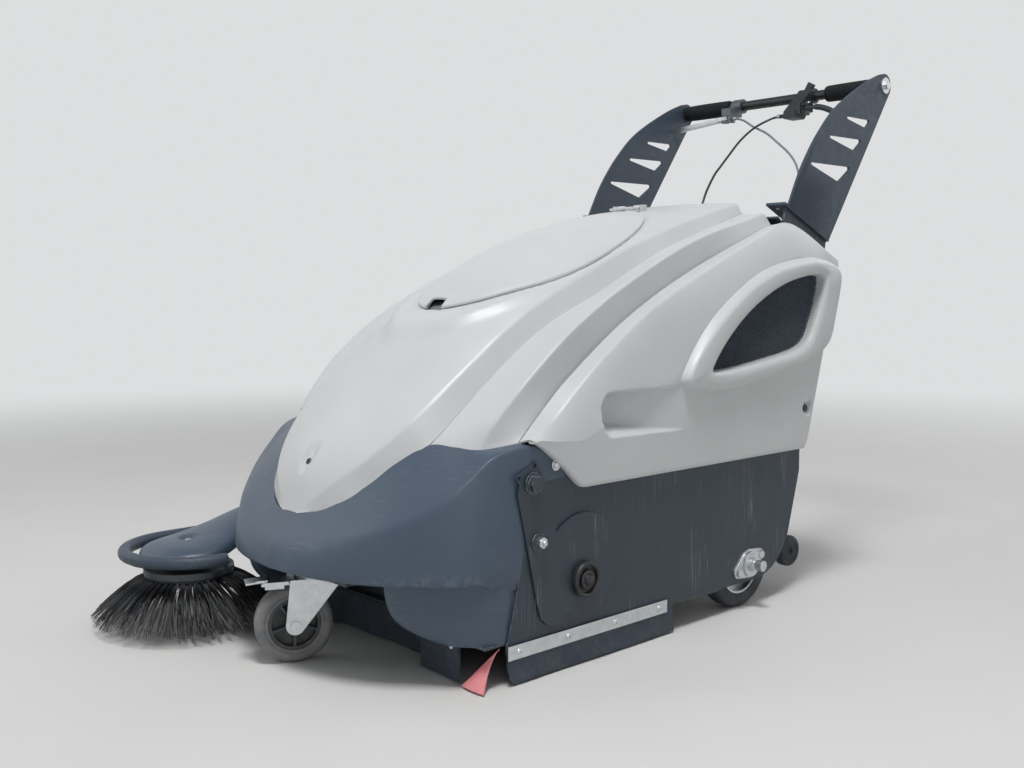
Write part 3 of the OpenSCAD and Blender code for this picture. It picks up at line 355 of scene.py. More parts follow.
@dataclass(frozen=True)
class Finish:
    """A material and how its surface was made. Lengths are in millimetres."""

    name: str
    slot: str
    base: str
    second: str
    rough: float
    metallic: float = 0.0
    ior: float = 1.5
    patch: float = 60.0
    contrast: float = 0.5
    grain: float = 1.2
    depth: float = 0.03
    uneven: float = 0.08
    dust: float = 0.0
    dust_colour: str = "#8f8a80"
    marks: Marks = Marks.NONE
    mark_colour: str = "#a9b2bb"
    mark_share: float = 0.0
    wear: float = 0.0
    wear_colour: str = "#b4bcc4"
    strand: float = 0.0

    def material(self) -> bpy.types.Material:
        """Blender material of the finish, made the first time it is asked for.

        Returns:
            The material.
        """
        known = bpy.data.materials.get(self.name)
        if known:
            return known
        made = bpy.data.materials.new(self.name)
        made.use_nodes = True
        tree = made.node_tree
        place = add_node(tree, "ShaderNodeTexCoord").outputs["Object"]
        grain = noise(tree, place, self.grain, 3.0, 0.5)
        colour = self.mottled(tree, place, grain)
        for share, tint in self.layers(tree, place):
            colour = blend(tree, share, colour, tint)
        rough = ranged(tree, noise(tree, place, self.patch * 0.4), 0.3, 0.7,
                       max(0.05, self.rough - self.uneven), min(1.0, self.rough + self.uneven))
        bump = add_node(tree, "ShaderNodeBump", links={
            "Strength": 1.0, "Distance": self.depth / PER_M, "Height": grain}).outputs[0]
        feed(tree, tree.nodes["Principled BSDF"], {
            "Base Color": colour, "Roughness": rough, "Metallic": self.metallic, "IOR": self.ior,
            "Normal": bump})
        return made

    def mottled(self, tree: Tree, place: Socket, grain: Socket) -> Socket:
        """Base colour with its patches, or with a shade of its own for each strand.

        Args:
            tree: the material's nodes.
            place: Object coordinates.
            grain: the fine pattern of the surface.

        Returns:
            The mixed colour.
        """
        if self.strand:
            share = compute(tree, "POWER", attribute(tree, TONE), self.strand)
        else:
            both = compute(tree, "MULTIPLY_ADD", grain, 0.3, noise(tree, place, self.patch))
            share = ranged(tree, both, 0.45, 0.85, 0.0, self.contrast)
        return blend(tree, share, linear(self.base), self.second)

    def layers(self, tree: Tree, place: Socket) -> list[tuple[Socket, str]]:
        """Layers over the base colour: thin scratches, dust near the ground and wear where the mesh says so.

        Args:
            tree: the material's nodes.
            place: Object coordinates.

        Returns:
            How much of each layer shows, and its colour.
        """
        found: list[tuple[Socket, str]] = []
        if self.marks is not Marks.NONE:
            stretch = add_node(tree, "ShaderNodeMapping", links={
                "Vector": place, "Scale": tuple(PER_M / s for s in self.marks.value)}).outputs[0]
            off = compute(tree, "SUBTRACT", noise(tree, stretch, PER_M, 2.0, 0.5), 0.5)
            line = ranged(tree, compute(tree, "ABSOLUTE", off), 0.0, 0.022, 1.0, 0.0)
            where = Clouds.SCRATCHES.spread(tree, place, self.mark_share)
            found.append((compute(tree, "MULTIPLY", line, where), self.mark_colour))
        if self.dust:
            height = add_node(tree, "ShaderNodeSeparateXYZ", links={0: place}).outputs["Z"]
            low = ranged(tree, height, 0.0, 0.3, 1.0, 0.15)
            where = Clouds.DUST.spread(tree, place, self.dust)
            found.append((compute(tree, "MULTIPLY", low, where), self.dust_colour))
        if self.wear:
            where = Clouds.WEAR.spread(tree, place, self.wear)
            found.append((compute(tree, "MULTIPLY", attribute(tree, EDGE), where), self.wear_colour))
        return found


# Moulded ABS: pale grey with a faint orange peel, so highlights are broad and soft
PALE_ABS = Finish("moulded_pale_abs", "pale_plastic", "#cfd1d3", "#c8c9cb", 0.4, ior=1.53, patch=90.0,
                  contrast=0.7, grain=1.6, uneven=0.05, wear=0.85, wear_colour="#6d7a88")
# Rotomoulded polyethylene: blue-grey, waxy, scuffed pale where it meets walls
ANTHRACITE = Finish("moulded_anthracite_polyethylene", "dark_plastic", "#465566", "#415063", 0.4, ior=1.51,
                    patch=80.0, uneven=0.03, grain=1.8, depth=0.05, marks=Marks.LEVEL, mark_share=0.14,
                    wear=0.5, wear_colour="#8f9cab", dust=0.04)
# Painted steel sheet: satin paint, scratched upright down to pale primer
PAINTED_STEEL = Finish("painted_steel_sheet", "dark_steel", "#313b47", "#37424f", 0.46, patch=70.0,
                       contrast=0.35, marks=Marks.UPRIGHT, mark_share=0.32, depth=0.02, grain=2.0, dust=0.05,
                       wear=0.5)
# Powder coated sheet: fine texture, edges rubbed bright
POWDER_COAT = Finish("powder_coated_sheet", "slate_steel", "#394553", "#414e5d", 0.5, patch=40.0, grain=0.9,
                     depth=0.05, wear=0.9, wear_colour="#aeb8c2", marks=Marks.ALL_WAYS, mark_share=0.12)
# Bright zinc plate: cool silver with cloudy spangle, dulled by use
ZINC = Finish("bright_zinc_plate", "zinc", "#dde0e2", "#c3c7ca", 0.38, metallic=1.0, patch=14.0, grain=2.5,
              depth=0.02, uneven=0.1, dust=0.1)
# Phosphated bolts painted over with the plates; the screws in the dimples of the panels and nose wear it too,
# as painted shade of their recesses
DARK_BOLTS = Finish("painted_over_bolts_and_recess_shade", "dark_bolts", "#3a424b", "#454e58", 0.45, patch=12.0, wear=0.8,
                    depth=0.02)
# Black lacquered tube
BAR_LACQUER = Finish("black_lacquered_tube", "black_bar", "#23262a", "#2b2f34", 0.38, patch=50.0, wear=0.5,
                     depth=0.015)
# Closed cell foam: dull and finely pitted; the pits are drawn at 1.4 mm so that they show
FOAM = Finish("closed_cell_foam", "foam", "#17191c", "#202226", 0.86, patch=18.0, grain=1.4, depth=0.22,
              ior=1.4)
# Glass filled nylon, moulded black with a fine spark texture
BLACK_NYLON = Finish("moulded_black_nylon", "black_plastic", "#222428", "#2b2e33", 0.5, ior=1.53, patch=30.0,
                     grain=0.9, depth=0.05, wear=0.35, wear_colour="#6f7680", dust=0.1)
# Die cast aluminium, tumbled to a satin
CAST_ALUMINIUM = Finish("satin_cast_aluminium", "lever_metal", "#c2c4c6", "#a8abae", 0.36, metallic=1.0,
                        patch=16.0, grain=1.5, depth=0.02)
# Die cast bracket, bead blasted and dulled
BLASTED_CASTING = Finish("bead_blasted_casting", "black_plastic", "#6d747b", "#5a6168", 0.5, metallic=0.7,
                         patch=14.0, contrast=0.8, grain=1.0, depth=0.04)
# Cable jackets: plasticised PVC, smooth with a faint sheen
GREY_JACKET = Finish("grey_pvc_jacket", "grey_jacket", "#7c8083", "#8a8d90", 0.4, ior=1.53, patch=22.0,
                     depth=0.01)
BLACK_JACKET = Finish("black_pvc_jacket", "black_jacket", "#1b1c1f", "#26282b", 0.4, ior=1.53, patch=22.0,
                      depth=0.01)
# Moulded rubber sheet: dull, dusty near the ground
SKIRT_RUBBER = Finish("rubber_sheet", "skirt_rubber", "#323c48", "#394451", 0.66, ior=1.52, patch=40.0,
                      grain=2.2, depth=0.06, dust=0.14, dust_colour="#767a80", marks=Marks.ALL_WAYS,
                      mark_share=0.12)
# Coloured wear-resistant rubber, dusty; its base is drawn paler than the rubber is, as painted light on a
# flap that stands in shade
COLOURED_RUBBER = Finish("coloured_rubber_sheet", "coloured_rubber", "#f8999d", "#f08d93", 0.6, ior=1.52,
                         patch=20.0, contrast=0.8, grain=2.0, depth=0.06, dust=0.15, dust_colour="#c3aca8")
# Woven steel gauze, coated dark grey
GAUZE = Finish("coated_wire_gauze", "mesh", "#414b57", "#5b6775", 0.45, patch=10.0, depth=0.02)
# Stove enamel on motor housings
MOTOR_PAINT = Finish("stove_enamel", "motor_paint", "#24272c", "#2c3036", 0.42, patch=40.0, grain=1.6,
                     dust=0.3)
# Pleated filter paper
FILTER_PAPER = Finish("pleated_filter_paper", "filter_paper", "#b8ad92", "#a89c80", 0.9, ior=1.45, patch=25.0,
                      grain=0.8, depth=0.08)
# Moulded belt rubber
BELT_RUBBER = Finish("belt_rubber", "belt_rubber", "#1a1a1b", "#242425", 0.7, ior=1.52, patch=15.0, grain=1.5,
                     depth=0.08)
# Polypropylene brush bodies
BRUSH_PLASTIC = Finish("moulded_polypropylene", "brush_plastic", "#343b44", "#3f4650", 0.5, ior=1.49,
                       patch=30.0, dust=0.2)
# Crimped nylon filament; some strands are dusty and pale
BRISTLE = Finish("crimped_nylon_filament", "bristle", "#1a1e24", "#9a9a99", 0.55, ior=1.53, strand=2.2,
                 grain=2.0, depth=0.02)
# Vulcanised tyre rubber, grey with road dust
TYRE_RUBBER = Finish("vulcanised_rubber", "tyre_rubber", "#30343a", "#3b3f45", 0.75, ior=1.52, patch=25.0,
                     grain=2.0, depth=0.12, dust=0.3, dust_colour="#77787a")
# Non-marking caster rubber: grey, beige where floor dust lies
CASTER_RUBBER = Finish("non_marking_rubber", "caster_rubber", "#7a7c80", "#66696e", 0.72, ior=1.52,
                       patch=18.0, contrast=0.9, grain=2.2, depth=0.12, dust=0.5, dust_colour="#a19b92")
# Moulded hub plastic
HUB_PLASTIC = Finish("moulded_hub_polyamide", "hub_plastic", "#2b3037", "#353b42", 0.5, ior=1.53, patch=20.0,
                     dust=0.25)


# ---------------------------------------------------------------- building


def faces_of(verts: Iterable[Vert]) -> list[Face]:
    """Faces that meet at some vertices, each one once and always in the same order."""
    return list(dict.fromkeys(f for v in verts for f in v.link_faces))


def recalculate(bm: Mesh, faces: Iterable[Face] | None = None) -> None:
    """Points the faces of closed shapes outwards."""
    bmesh.ops.recalc_face_normals(bm, faces=list(faces) if faces else bm.faces[:])


def lay_grid(bm: Mesh, columns: int, rows: int, place: Surface, outward: Vector | None = None,
             join: bool = False) -> list[Vert]:
    """Adds a grid and lays it on a surface.

    Args:
        bm: the mesh to add to.
        columns: faces along the first way.
        rows: faces along the second way.
        place: gives the point for shares 0 to 1 of the two ways.
        outward: a direction that most faces look along, if they have to be turned to it.
        join: whether the grid's meeting edges are merged.

    Returns:
        The grid's vertices.
    """
    made = bmesh.ops.create_grid(bm, x_segments=columns, y_segments=rows, size=0.5)["verts"]
    for vert in made:
        vert.co = place(vert.co.x + 0.5, vert.co.y + 0.5)
    faces = faces_of(made)
    if join:
        bmesh.ops.remove_doubles(bm, verts=made, dist=1e-6)
        made = [v for v in made if v.is_valid]
        faces = [f for f in faces if f.is_valid]
    if outward is not None:
        total = Vector()
        for f in faces:
            f.normal_update()
            total += f.normal * f.calc_area()
        if total.dot(outward) < 0:
            bmesh.ops.reverse_faces(bm, faces=faces)
    return made


def turn(bm: Mesh, profile: Flat, centre: Vector, axis: Vector, steps: int = 48,
         closed: bool = False) -> list[Vert]:
    """Turns a profile on a lathe.

    Args:
        bm: the mesh to add to.
        profile: radius and place along the axis of each point, in millimetres.
        centre: start of the axis.
        axis: direction of the axis.
        steps: faces round the axis.
        closed: whether the profile is a closed ring.

    Returns:
        The vertices of the turned shape.
    """
    along = axis.normalized()
    out = along.orthogonal().normalized()
    start = len(bm.verts)
    verts = [bm.verts.new(centre + (out * r + along * h) / PER_M) for r, h in profile]
    pairs = list(zip(verts, verts[1:])) + ([(verts[-1], verts[0])] if closed else [])
    edges = [bm.edges.new(pair) for pair in pairs]
    bmesh.ops.spin(bm, geom=verts + edges, cent=centre, axis=along, angle=math.tau, steps=steps,
                   use_merge=True)
    bm.verts.ensure_lookup_table()
    made = bm.verts[start:]
    bmesh.ops.remove_doubles(bm, verts=made, dist=1e-7)
    made = [v for v in made if v.is_valid]
    recalculate(bm, faces_of(made))
    return made


def round_edges(bm: Mesh, edges: Iterable[bmesh.types.BMEdge], width: float) -> list[Face]:
    """Rounds off edges by a width in millimetres and gives back the new faces."""
    return bmesh.ops.bevel(bm, geom=list(edges), offset=width / PER_M, offset_type="OFFSET", affect="EDGES",
                           segments=2, profile=0.5, material=-1, clamp_overlap=True)["faces"]


def slab(bm: Mesh, outline: Sequence[Vector], push: Vector, round_off: float = 0.0) -> None:
    """Adds a sheet or block: an outline pushed along a direction.

    Args:
        bm: the mesh to add to.
        outline: corners of the outline.
        push: how far and which way it is pushed.
        round_off: radius of its edges in millimetres.
    """
    face = bm.faces.new([bm.verts.new(p) for p in outline])
    grown = bmesh.ops.extrude_face_region(bm, geom=[face])["geom"]
    moved = [g for g in grown if isinstance(g, Vert)]
    bmesh.ops.translate(bm, verts=moved, vec=push)
    faces = list(dict.fromkeys([*faces_of(moved), face]))
    recalculate(bm, faces)
    if round_off:
        round_edges(bm, dict.fromkeys(e for f in faces for e in f.edges), round_off)


def hexagon(bm: Mesh, centre: Vector, axis: Vector, radius: float, height: float) -> None:
    """Adds a hexagon nut or bolt head with chamfered corners.

    Args:
        bm: the mesh to add to.
        centre: middle of its foot.
        axis: direction it stands along.
        radius: over its corners, in millimetres.
        height: in millimetres.
    """
    turned = axis.normalized().to_track_quat("Z", "Y").to_matrix().to_4x4()
    foot = Matrix.Translation(centre + axis.normalized() * (height / (2 * PER_M))) @ turned
    verts = bmesh.ops.create_cone(bm, cap_ends=True, cap_tris=False, segments=6, radius1=radius / PER_M,
                                  radius2=radius / PER_M, depth=height / PER_M, matrix=foot)["verts"]
    round_edges(bm, dict.fromkeys(e for v in verts for e in v.link_edges), 0.9)


def pan_screw(bm: Mesh, centre: Vector, axis: Vector, radius: float) -> None:
    """Adds a domed screw head with its socket."""
    profile = ((0, 0.25), (0.34, 0.25), (0.38, 0.58), (0.62, 0.5), (0.86, 0.32), (1, 0.08), (1, 0))
    turn(bm, [(r * radius, h * radius) for r, h in profile], centre, axis, 20)


def shade(obj: Piece, sharp: float) -> None:
    """Shades a piece smooth, apart from edges sharper than an angle in degrees.

    Args:
        obj: the piece.
        sharp: the angle.
    """
    bm = bmesh.new()
    bm.from_mesh(obj.data)
    limit = math.radians(sharp)
    for face in bm.faces:
        face.smooth = True
    for edge in bm.edges:
        edge.smooth = len(edge.link_faces) != 2 or edge.calc_face_angle(0.0) < limit
    bm.to_mesh(obj.data)
    bm.free()


def add_object(name: str, data: bpy.types.ID) -> Piece:
    """New object of the scene with its data.

    Args:
        name: its name.
        data: its data.

    Returns:
        The object.
    """
    obj = bpy.data.objects.new(name, data)
    bpy.context.scene.collection.objects.link(obj)
    return obj


def settle(obj: Piece) -> None:
    """Applies a piece's modifiers to its mesh.

    Args:
        obj: the piece.
    """
    bpy.context.view_layer.update()
    graph = bpy.context.evaluated_depsgraph_get()
    done = bpy.data.meshes.new_from_object(obj.evaluated_get(graph))
    old = obj.data
    obj.modifiers.clear()
    obj.data = done
    bpy.data.meshes.remove(old)


def modify(obj: Piece, kind: str, settings: dict, stays: bool = False) -> None:
    """Gives a piece a modifier.

    Args:
        obj: the piece.
        kind: Blender's name of the modifier.
        settings: values of the modifier's properties.
        stays: whether it stays a modifier, instead of being applied.
    """
    added = obj.modifiers.new(kind.lower(), kind)
    for key, value in settings.items():
        setattr(added, key, value)
    if not stays:
        settle(obj)


def make(name: str, bm: Mesh, wall: float = 0.0) -> Piece:
    """Turns a bmesh into a piece of the scene.

    Args:
        name: name of the piece.
        bm: its mesh, which is freed.
        wall: thickness that a sheet gets behind its faces, in millimetres.

    Returns:
        The piece.
    """
    mesh = bpy.data.meshes.new(name)
    bm.to_mesh(mesh)
    bm.free()
    obj = add_object(name, mesh)
    if wall:
        modify(obj, "SOLIDIFY", {"thickness": wall / PER_M, "offset": -1.0, "use_even_offset": False})
    return obj


def carve(obj: Piece, cutter: Mesh) -> None:
    """Cuts a closed shape out of a piece.

    Args:
        obj: the piece.
        cutter: the closed shape, which is freed.
    """
    tool = make(obj.name + "_cutter", cutter)
    modify(obj, "BOOLEAN", {"operation": "DIFFERENCE", "solver": "EXACT", "object": tool})
    used = tool.data
    bpy.data.objects.remove(tool)
    bpy.data.meshes.remove(used)


def punch(obj: Piece, outline: Sequence[Vector], push: Vector) -> None:
    """Cuts a hole with an outline through a piece.

    Args:
        obj: the piece.
        outline: corners of the hole.
        push: which way and how far it goes.
    """
    hole = bmesh.new()
    slab(hole, outline, push)
    carve(obj, hole)


def dress(obj: Piece, finish: Finish, body: str, stands_for: Sequence[str] = (), sharp: float = 35.0,
          weighted: bool = False) -> Piece:
    """Shades a piece, gives it its finish and lets it ride on a body.

    Args:
        obj: the piece.
        finish: its material.
        body: the body it moves with.
        stands_for: nodes of the frame that it replaces.
        sharp: angle in degrees from which an edge is drawn sharp.
        weighted: whether large flat faces keep their own shading.

    Returns:
        The piece.
    """
    shade(obj, sharp)
    obj.data.materials.clear()
    obj.data.materials.append(finish.material())
    if weighted:
        modify(obj, "WEIGHTED_NORMAL", {"keep_sharp": True}, stays=True)
    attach(obj, body)
    if stands_for:
        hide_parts(*stands_for)
    LOG.info("%s on %s: %d faces", obj.name, body, len(obj.data.polygons))
    return obj


def body_of(node: str) -> str:
    """Body that a node of the frame rides on."""
    return frame["nodes"][node]["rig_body"]


def soften(node: str, width: float, finish: Finish, sharp: float = 30.0) -> Piece:
    """Copies a node of the frame, merges it and rounds its sharp edges.

    Args:
        node: the node.
        width: how much of each edge is rounded off, in millimetres.
        finish: its material.
        sharp: angle in degrees from which an edge is rounded.

    Returns:
        The piece that stands for the node.
    """
    bm = bmesh.new()
    bm.from_mesh(frame["nodes"][node].data)
    bmesh.ops.remove_doubles(bm, verts=bm.verts, dist=2e-6)
    bmesh.ops.dissolve_limit(bm, angle_limit=math.radians(0.4), verts=bm.verts, edges=bm.edges)
    limit = math.radians(sharp)
    edges = [e for e in bm.edges if len(e.link_faces) == 2 and e.calc_face_angle(0.0) > limit]
    rounded = round_edges(bm, edges, width)
    layer = bm.loops.layers.float.new(EDGE)
    for face in rounded:
        for loop in face.loops:
            loop[layer] = 1.0
    return dress(make("softened_" + node, bm), finish, body_of(node), [node], 50.0, weighted=True)


# ---------------------------------------------------------------- studio and cords


@dataclass
class Studio:
    """Camera at the photograph's place, pale floor and soft light."""

    eye: tuple[float, float, float] = (1475.7, -1081.7, 592.0)
    pitch: float = 4.883
    heading: float = 46.9
    lens: float = 38.513
    sensor: float = 36.0
    aim: tuple[float, float, float] = (0.0, 0.0, 0.45)
    lamps: Sequence[tuple[str, tuple[float, float, float], float, float]] = (
        ("key", (1.05, -1.15, 3.95), 0.9, 96.0), ("fill", (-2.4, -2.2, 2.6), 2.6, 20.0),
        ("side", (3.4, -1.8, 1.4), 3.0, 8.0), ("back", (0.3, 3.8, 2.6), 3.0, 30.0))
    sky: float = 0.36
    sky_colour: str = "#f4f6fa"
    wall_colour: str = "#dddedf"
    floor_r: float = 5500.0
    sweep_r: float = 2500.0
    wall_z: float = 7000.0

    def camera(self) -> None:
        """Sets up the camera."""
        data = bpy.data.cameras.new("camera")
        data.sensor_width = self.sensor
        data.lens = self.lens
        camera = add_object("camera", data)
        camera.location = mm(*self.eye)
        camera.rotation_euler = Euler((math.radians(90.0 - self.pitch), 0.0, math.radians(self.heading)))
        bpy.context.scene.camera = camera

    def light(self) -> None:
        """Adds the lamps, the world and the floor."""
        scene = bpy.context.scene
        scene.view_settings.view_transform = "Standard"
        for name, place, size, watts in self.lamps:
            data = bpy.data.lights.new(name, "AREA")
            data.energy = watts
            data.size = size
            lamp = add_object(name, data)
            lamp.location = place
            lamp.rotation_euler = (Vector(self.aim) - Vector(place)).to_track_quat("-Z", "Y").to_euler()
        world = bpy.data.worlds.new("studio")
        world.use_nodes = True
        scene.world = world
        tree = world.node_tree
        tree.nodes.clear()
        lit = add_node(tree, "ShaderNodeBackground",
                       links={"Color": linear(self.sky_colour), "Strength": self.sky})
        add_node(tree, "ShaderNodeOutputWorld", links={"Surface": lit.outputs[0]})
        bm = bmesh.new()
        r = self.sweep_r
        turns = [math.pi / 2 * k / 12 for k in range(13)]
        sweep = [(self.floor_r + r * math.sin(a), r - r * math.cos(a)) for a in turns]
        turn(bm, [(0, 0), (r, 0)] + sweep + [(self.floor_r + r, self.wall_z)], Vector((0, 0, 0)), Z, 72)
        bmesh.ops.reverse_faces(bm, faces=bm.faces[:])
        floor = make("floor", bm)
        shade(floor, 60.0)
        floor.data.materials.append(self.backdrop())

    def backdrop(self) -> bpy.types.Material:
        """Material of the floor, which turns into an evenly pale wall away from the machine.

        Returns:
            The material.
        """
        made = Finish("sealed_floor", "floor", "#dcdcda", "#d6d6d4", 0.75, patch=400.0, grain=3.0,
                      depth=0.02).material()
        tree = made.node_tree
        place = add_node(tree, "ShaderNodeTexCoord").outputs["Object"]
        away = add_node(tree, "ShaderNodeVectorMath", {"operation": "LENGTH"}, {0: place}).outputs["Value"]
        far = ranged(tree, away, 1.6, 5.0, 0.0, 1.0, "SMOOTHSTEP")
        ray = add_node(tree, "ShaderNodeLightPath").outputs
        seen = ray["Is Camera Ray"]
        for kind in ("Is Glossy Ray", "Is Transmission Ray"):
            seen = compute(tree, "MAXIMUM", seen, ray[kind])
        pale = add_node(tree, "ShaderNodeEmission",
                        links={"Color": linear(self.wall_colour), "Strength": 1.0})
        both = add_node(tree, "ShaderNodeMixShader", links={
            0: compute(tree, "MULTIPLY", far, seen), 1: tree.nodes["Principled BSDF"].outputs[0],
            2: pale.outputs[0]})
        feed(tree, tree.nodes["Material Output"], {"Surface": both.outputs[0]})
        return made


@dataclass
class Cables:
    """The two control cables from the levers to the operator's panel."""

    radius: float = 2.5
    brake: Route = (
        (-85, 1101, 996), (-60, 1098, 989), (-19, 1080, 968), (28, 1062, 947), (70, 1040, 922),
        (130, 1004, 884), (178, 960, 843), (207, 918, 790), (218, 884, 748), (220, 863, 717), (220, 840, 685))
    drive: Route = (
        (34, 1101, 987), (18, 1092, 982), (-2, 1060, 962), (-5, 1010, 929), (-1, 960, 890), (3, 925, 863),
        (6, 900, 843), (14, 862, 805), (20, 836, 768), (20, 823, 745), (20, 800, 713))

    def build(self) -> None:
        """Builds both cables."""
        self.run("brake_cable_jacket", self.brake, GREY_JACKET, "brake_cable")
        self.run("drive_cable_jacket", self.drive, BLACK_JACKET, "drive_cable")

    def run(self, name: str, route: Route, finish: Finish, node: str) -> None:
        """Builds one cable as a curve.

        Args:
            name: name of the piece.
            route: points of the route in the drawing.
            finish: its jacket.
            node: node that it stands for.
        """
        line = spline([mm(*p) for p in route], False, 6)
        data = bpy.data.curves.new(name, "CURVE")
        data.dimensions = "3D"
        data.bevel_depth = self.radius / PER_M
        data.bevel_resolution = 3
        data.use_fill_caps = True
        path = data.splines.new("POLY")
        path.points.add(len(line) - 1)
        for point, place in zip(path.points, line):
            point.co = (*place, 1.0)
        data.materials.append(finish.material())
        cable = add_object(name, data)
        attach(cable, body_of(node))
        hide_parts(node)


# ---------------------------------------------------------------- hood, lid and panels


@dataclass
class Hood:
    """Pale hood: domed crown, a terrace on each side and the raised collar that carries the lid."""

    wall: float = 3.0
    nose: float = -178.0
    rear: float = 760.0
    lid_y: float = 360.0
    lid_a: float = 155.0
    lid_b: float = 252.0
    collar_y: float = 300.0
    collar_a: float = 168.0
    collar_b: float = 275.0
    collar_lift: float = 13.0
    groove: float = 5.0
    screw_y: float = -141.0
    screw_r: float = 17.0
    terrace_front: tuple[float, float, float] = (-46.0, -5.0, 46.0)
    nose_roll: Flat = ((2.8, -7.0), (1.3, -4.2), (0.3, -2.0), (0.0, -0.6))
    front_roll: Flat = ((0.0, -12.0), (1.6, -8.0), (1.8, -4.0), (0.8, -1.2))
    crown_z: Table = ((-178, 249), (-150, 319), (-100, 381), (-50, 432), (0, 476), (60, 525), (120, 571),
                      (200, 621), (300, 664), (400, 698), (500, 724), (600, 746), (700, 762), (760, 771))
    crown_fall: Table = ((-178, 2), (-150, 22), (-100, 31), (0, 41), (100, 48), (250, 52), (450, 36),
                         (760, 5))
    crown_half: Table = ((-178, 14), (-165, 50), (-150, 80), (-124, 112), (-91, 136), (-60, 149), (-27, 157),
                         (0, 161), (47, 165), (120, 168), (400, 168), (760, 165))
    valley_x: Table = ((-178, 20), (-174, 36), (-165, 58), (-156, 80), (-139, 108), (-120, 124), (-101, 140),
                       (-73, 158), (-44, 180), (60, 181), (400, 180), (760, 178))
    valley_z: Table = ((-178, 247), (-174, 250), (-165, 255), (-156, 264), (-139, 281), (-120, 297),
                       (-101, 315), (-73, 339), (-44, 358), (0, 392), (183, 521), (336, 588), (515, 668),
                       (760, 747))
    ridge_x: Table = ((-5, 252), (22, 262), (91, 274), (176, 275), (299, 270), (505, 259), (760, 231))
    ridge_z: Table = ((-5, 354), (22, 397), (91, 468), (176, 533), (299, 600), (505, 683), (760, 742))
    seam_x: Table = ((46, 284), (88, 278), (156, 273), (300, 268), (468, 262), (723, 248), (760, 246))
    seam_z: Table = ((46, 364), (88, 397), (156, 450), (300, 542), (468, 620), (723, 710), (760, 720))

    def off_lid(self, x: float, y: float) -> float:
        """Share of the lid's oval at a place; 1 on its edge."""
        return math.hypot(x / self.lid_a, (y - self.lid_y) / self.lid_b)

    def dome(self, x: float, y: float) -> float:
        """Height of the crown with the collar round the lid's front, which bulges and falls again to the lid.

        Args:
            x: distance from the middle.
            y: place along the machine.

        Returns:
            The height in millimetres.
        """
        r = math.hypot(x / self.collar_a, (y - self.collar_y) / self.collar_b)
        collar = self.collar_lift * ease((1.0 - r) / 0.1) * ease((self.off_lid(x, y) - 1.02) / 0.2)
        plain = curve(self.crown_z, y) - curve(self.crown_fall, y) * (x / curve(self.crown_half, y)) ** 2
        return plain + collar * (1.0 - ease((y - 200.0) / 250.0))

    def crown(self, x: float, y: float) -> float:
        """Height of the crown with the groove round the lid."""
        r = self.off_lid(x, y)
        return self.dome(x, y) - self.groove * ease((r - 0.955) / 0.015) * ease((1.026 - r) / 0.010)

    def base(self, p: float, y: float) -> Vector:
        """Sharp cross section of the crown.

        Args:
            p: 0 at the middle, 1 at the ridge, 2 at the valley and 3 at the edge's rolled end.
            y: place along the machine.

        Returns:
            The point in millimetres.
        """
        half = curve(self.crown_half, y)
        if p <= 1.0:
            return Vector((p * half, y, self.crown(p * half, y)))
        valley = station(self.valley_x, y, self.valley_z)
        if p <= 2.0:
            return Vector((half, y, self.crown(half, y))).lerp(valley, p - 1.0)
        back = 3.5 * (1.0 - ease((y - self.nose) / 16.0))
        tip, end = valley + Vector((1.5, 0.5 * back - 0.5, -1.0)), valley + Vector((-1.0, back, -8.0))
        return bend(valley, tip, end, p - 2.0)

    def section(self, p: float, y: float) -> Vector:
        """Cross section of the crown with its ridge rounded, for either side of the middle.

        Args:
            p: 0 at the middle to 3 at the edge's rolled end, or below 0 on the other side.
            y: place along the machine.

        Returns:
            The point in millimetres.
        """
        side, p = math.copysign(1.0, p), abs(p)
        start, end = 0.96, 1.14
        if start < p < end:
            point = bend(self.base(start, y), self.base(1.0, y), self.base(end, y), (p - start) / 0.18)
        else:
            point = self.base(p, y)
        point.x *= side
        return point

    def terrace(self, p: float, v: float) -> Vector:
        """Cross section of the terrace.

        Args:
            p: 0 at the valley, 1 at the ridge, 2 at the seam and 3 at the rolled edge.
            v: share of the way from the slanting front edge to the rear.

        Returns:
            The point in millimetres.
        """
        y_valley, y_ridge, y_seam = (mix(start, self.rear, v) for start in self.terrace_front)
        valley = Vector((curve(self.valley_x, y_valley) - 5.0, y_valley,
                         curve(self.valley_z, y_valley) - 1.5))
        ridge = station(self.ridge_x, y_ridge, self.ridge_z)
        seam = station(self.seam_x, y_seam, self.seam_z)
        if 0.91 < p < 1.1:
            return bend(valley.lerp(ridge, 0.91), ridge, ridge.lerp(seam, 0.1), (p - 0.91) / 0.19)
        if p <= 1.0:
            return valley.lerp(ridge, p) - Z * (1.2 * math.sin(math.pi * p / 0.91))
        if p <= 2.0:
            return ridge.lerp(seam, p - 1.0)
        return bend(seam, seam + Vector((1.2, 0.0, -1.0)), seam + Vector((-0.5, 0.0, -9.0)), p - 2.0)

    def build(self) -> None:
        """Builds the hood with its opening under the lid, and the lid's catch."""
        bm = bmesh.new()
        self.lay_crown(bm)
        self.lay_terraces(bm)
        hood = make("hood_shell", bm, self.wall)
        angles = [math.tau * k / 96 for k in range(96)]
        punch(hood, [mm(133 * math.cos(a), self.lid_y + 230 * math.sin(a), 480) for a in angles], Z * 0.4)
        punch(hood, [mm(-20, 110, 500), mm(24, 110, 500), mm(24, 150, 500), mm(-20, 150, 500)], Z * 0.2)
        dress(hood, PALE_ABS, body_of("hood"), ["hood"], 40.0)
        bm = bmesh.new()
        slab(bm, [mm(-30, 104, 547), mm(34, 104, 547), mm(34, 150, 575), mm(-30, 150, 575)], Z * 0.003, 0.5)
        dress(make("lid_catch", bm), GREY_JACKET, body_of("hood"))

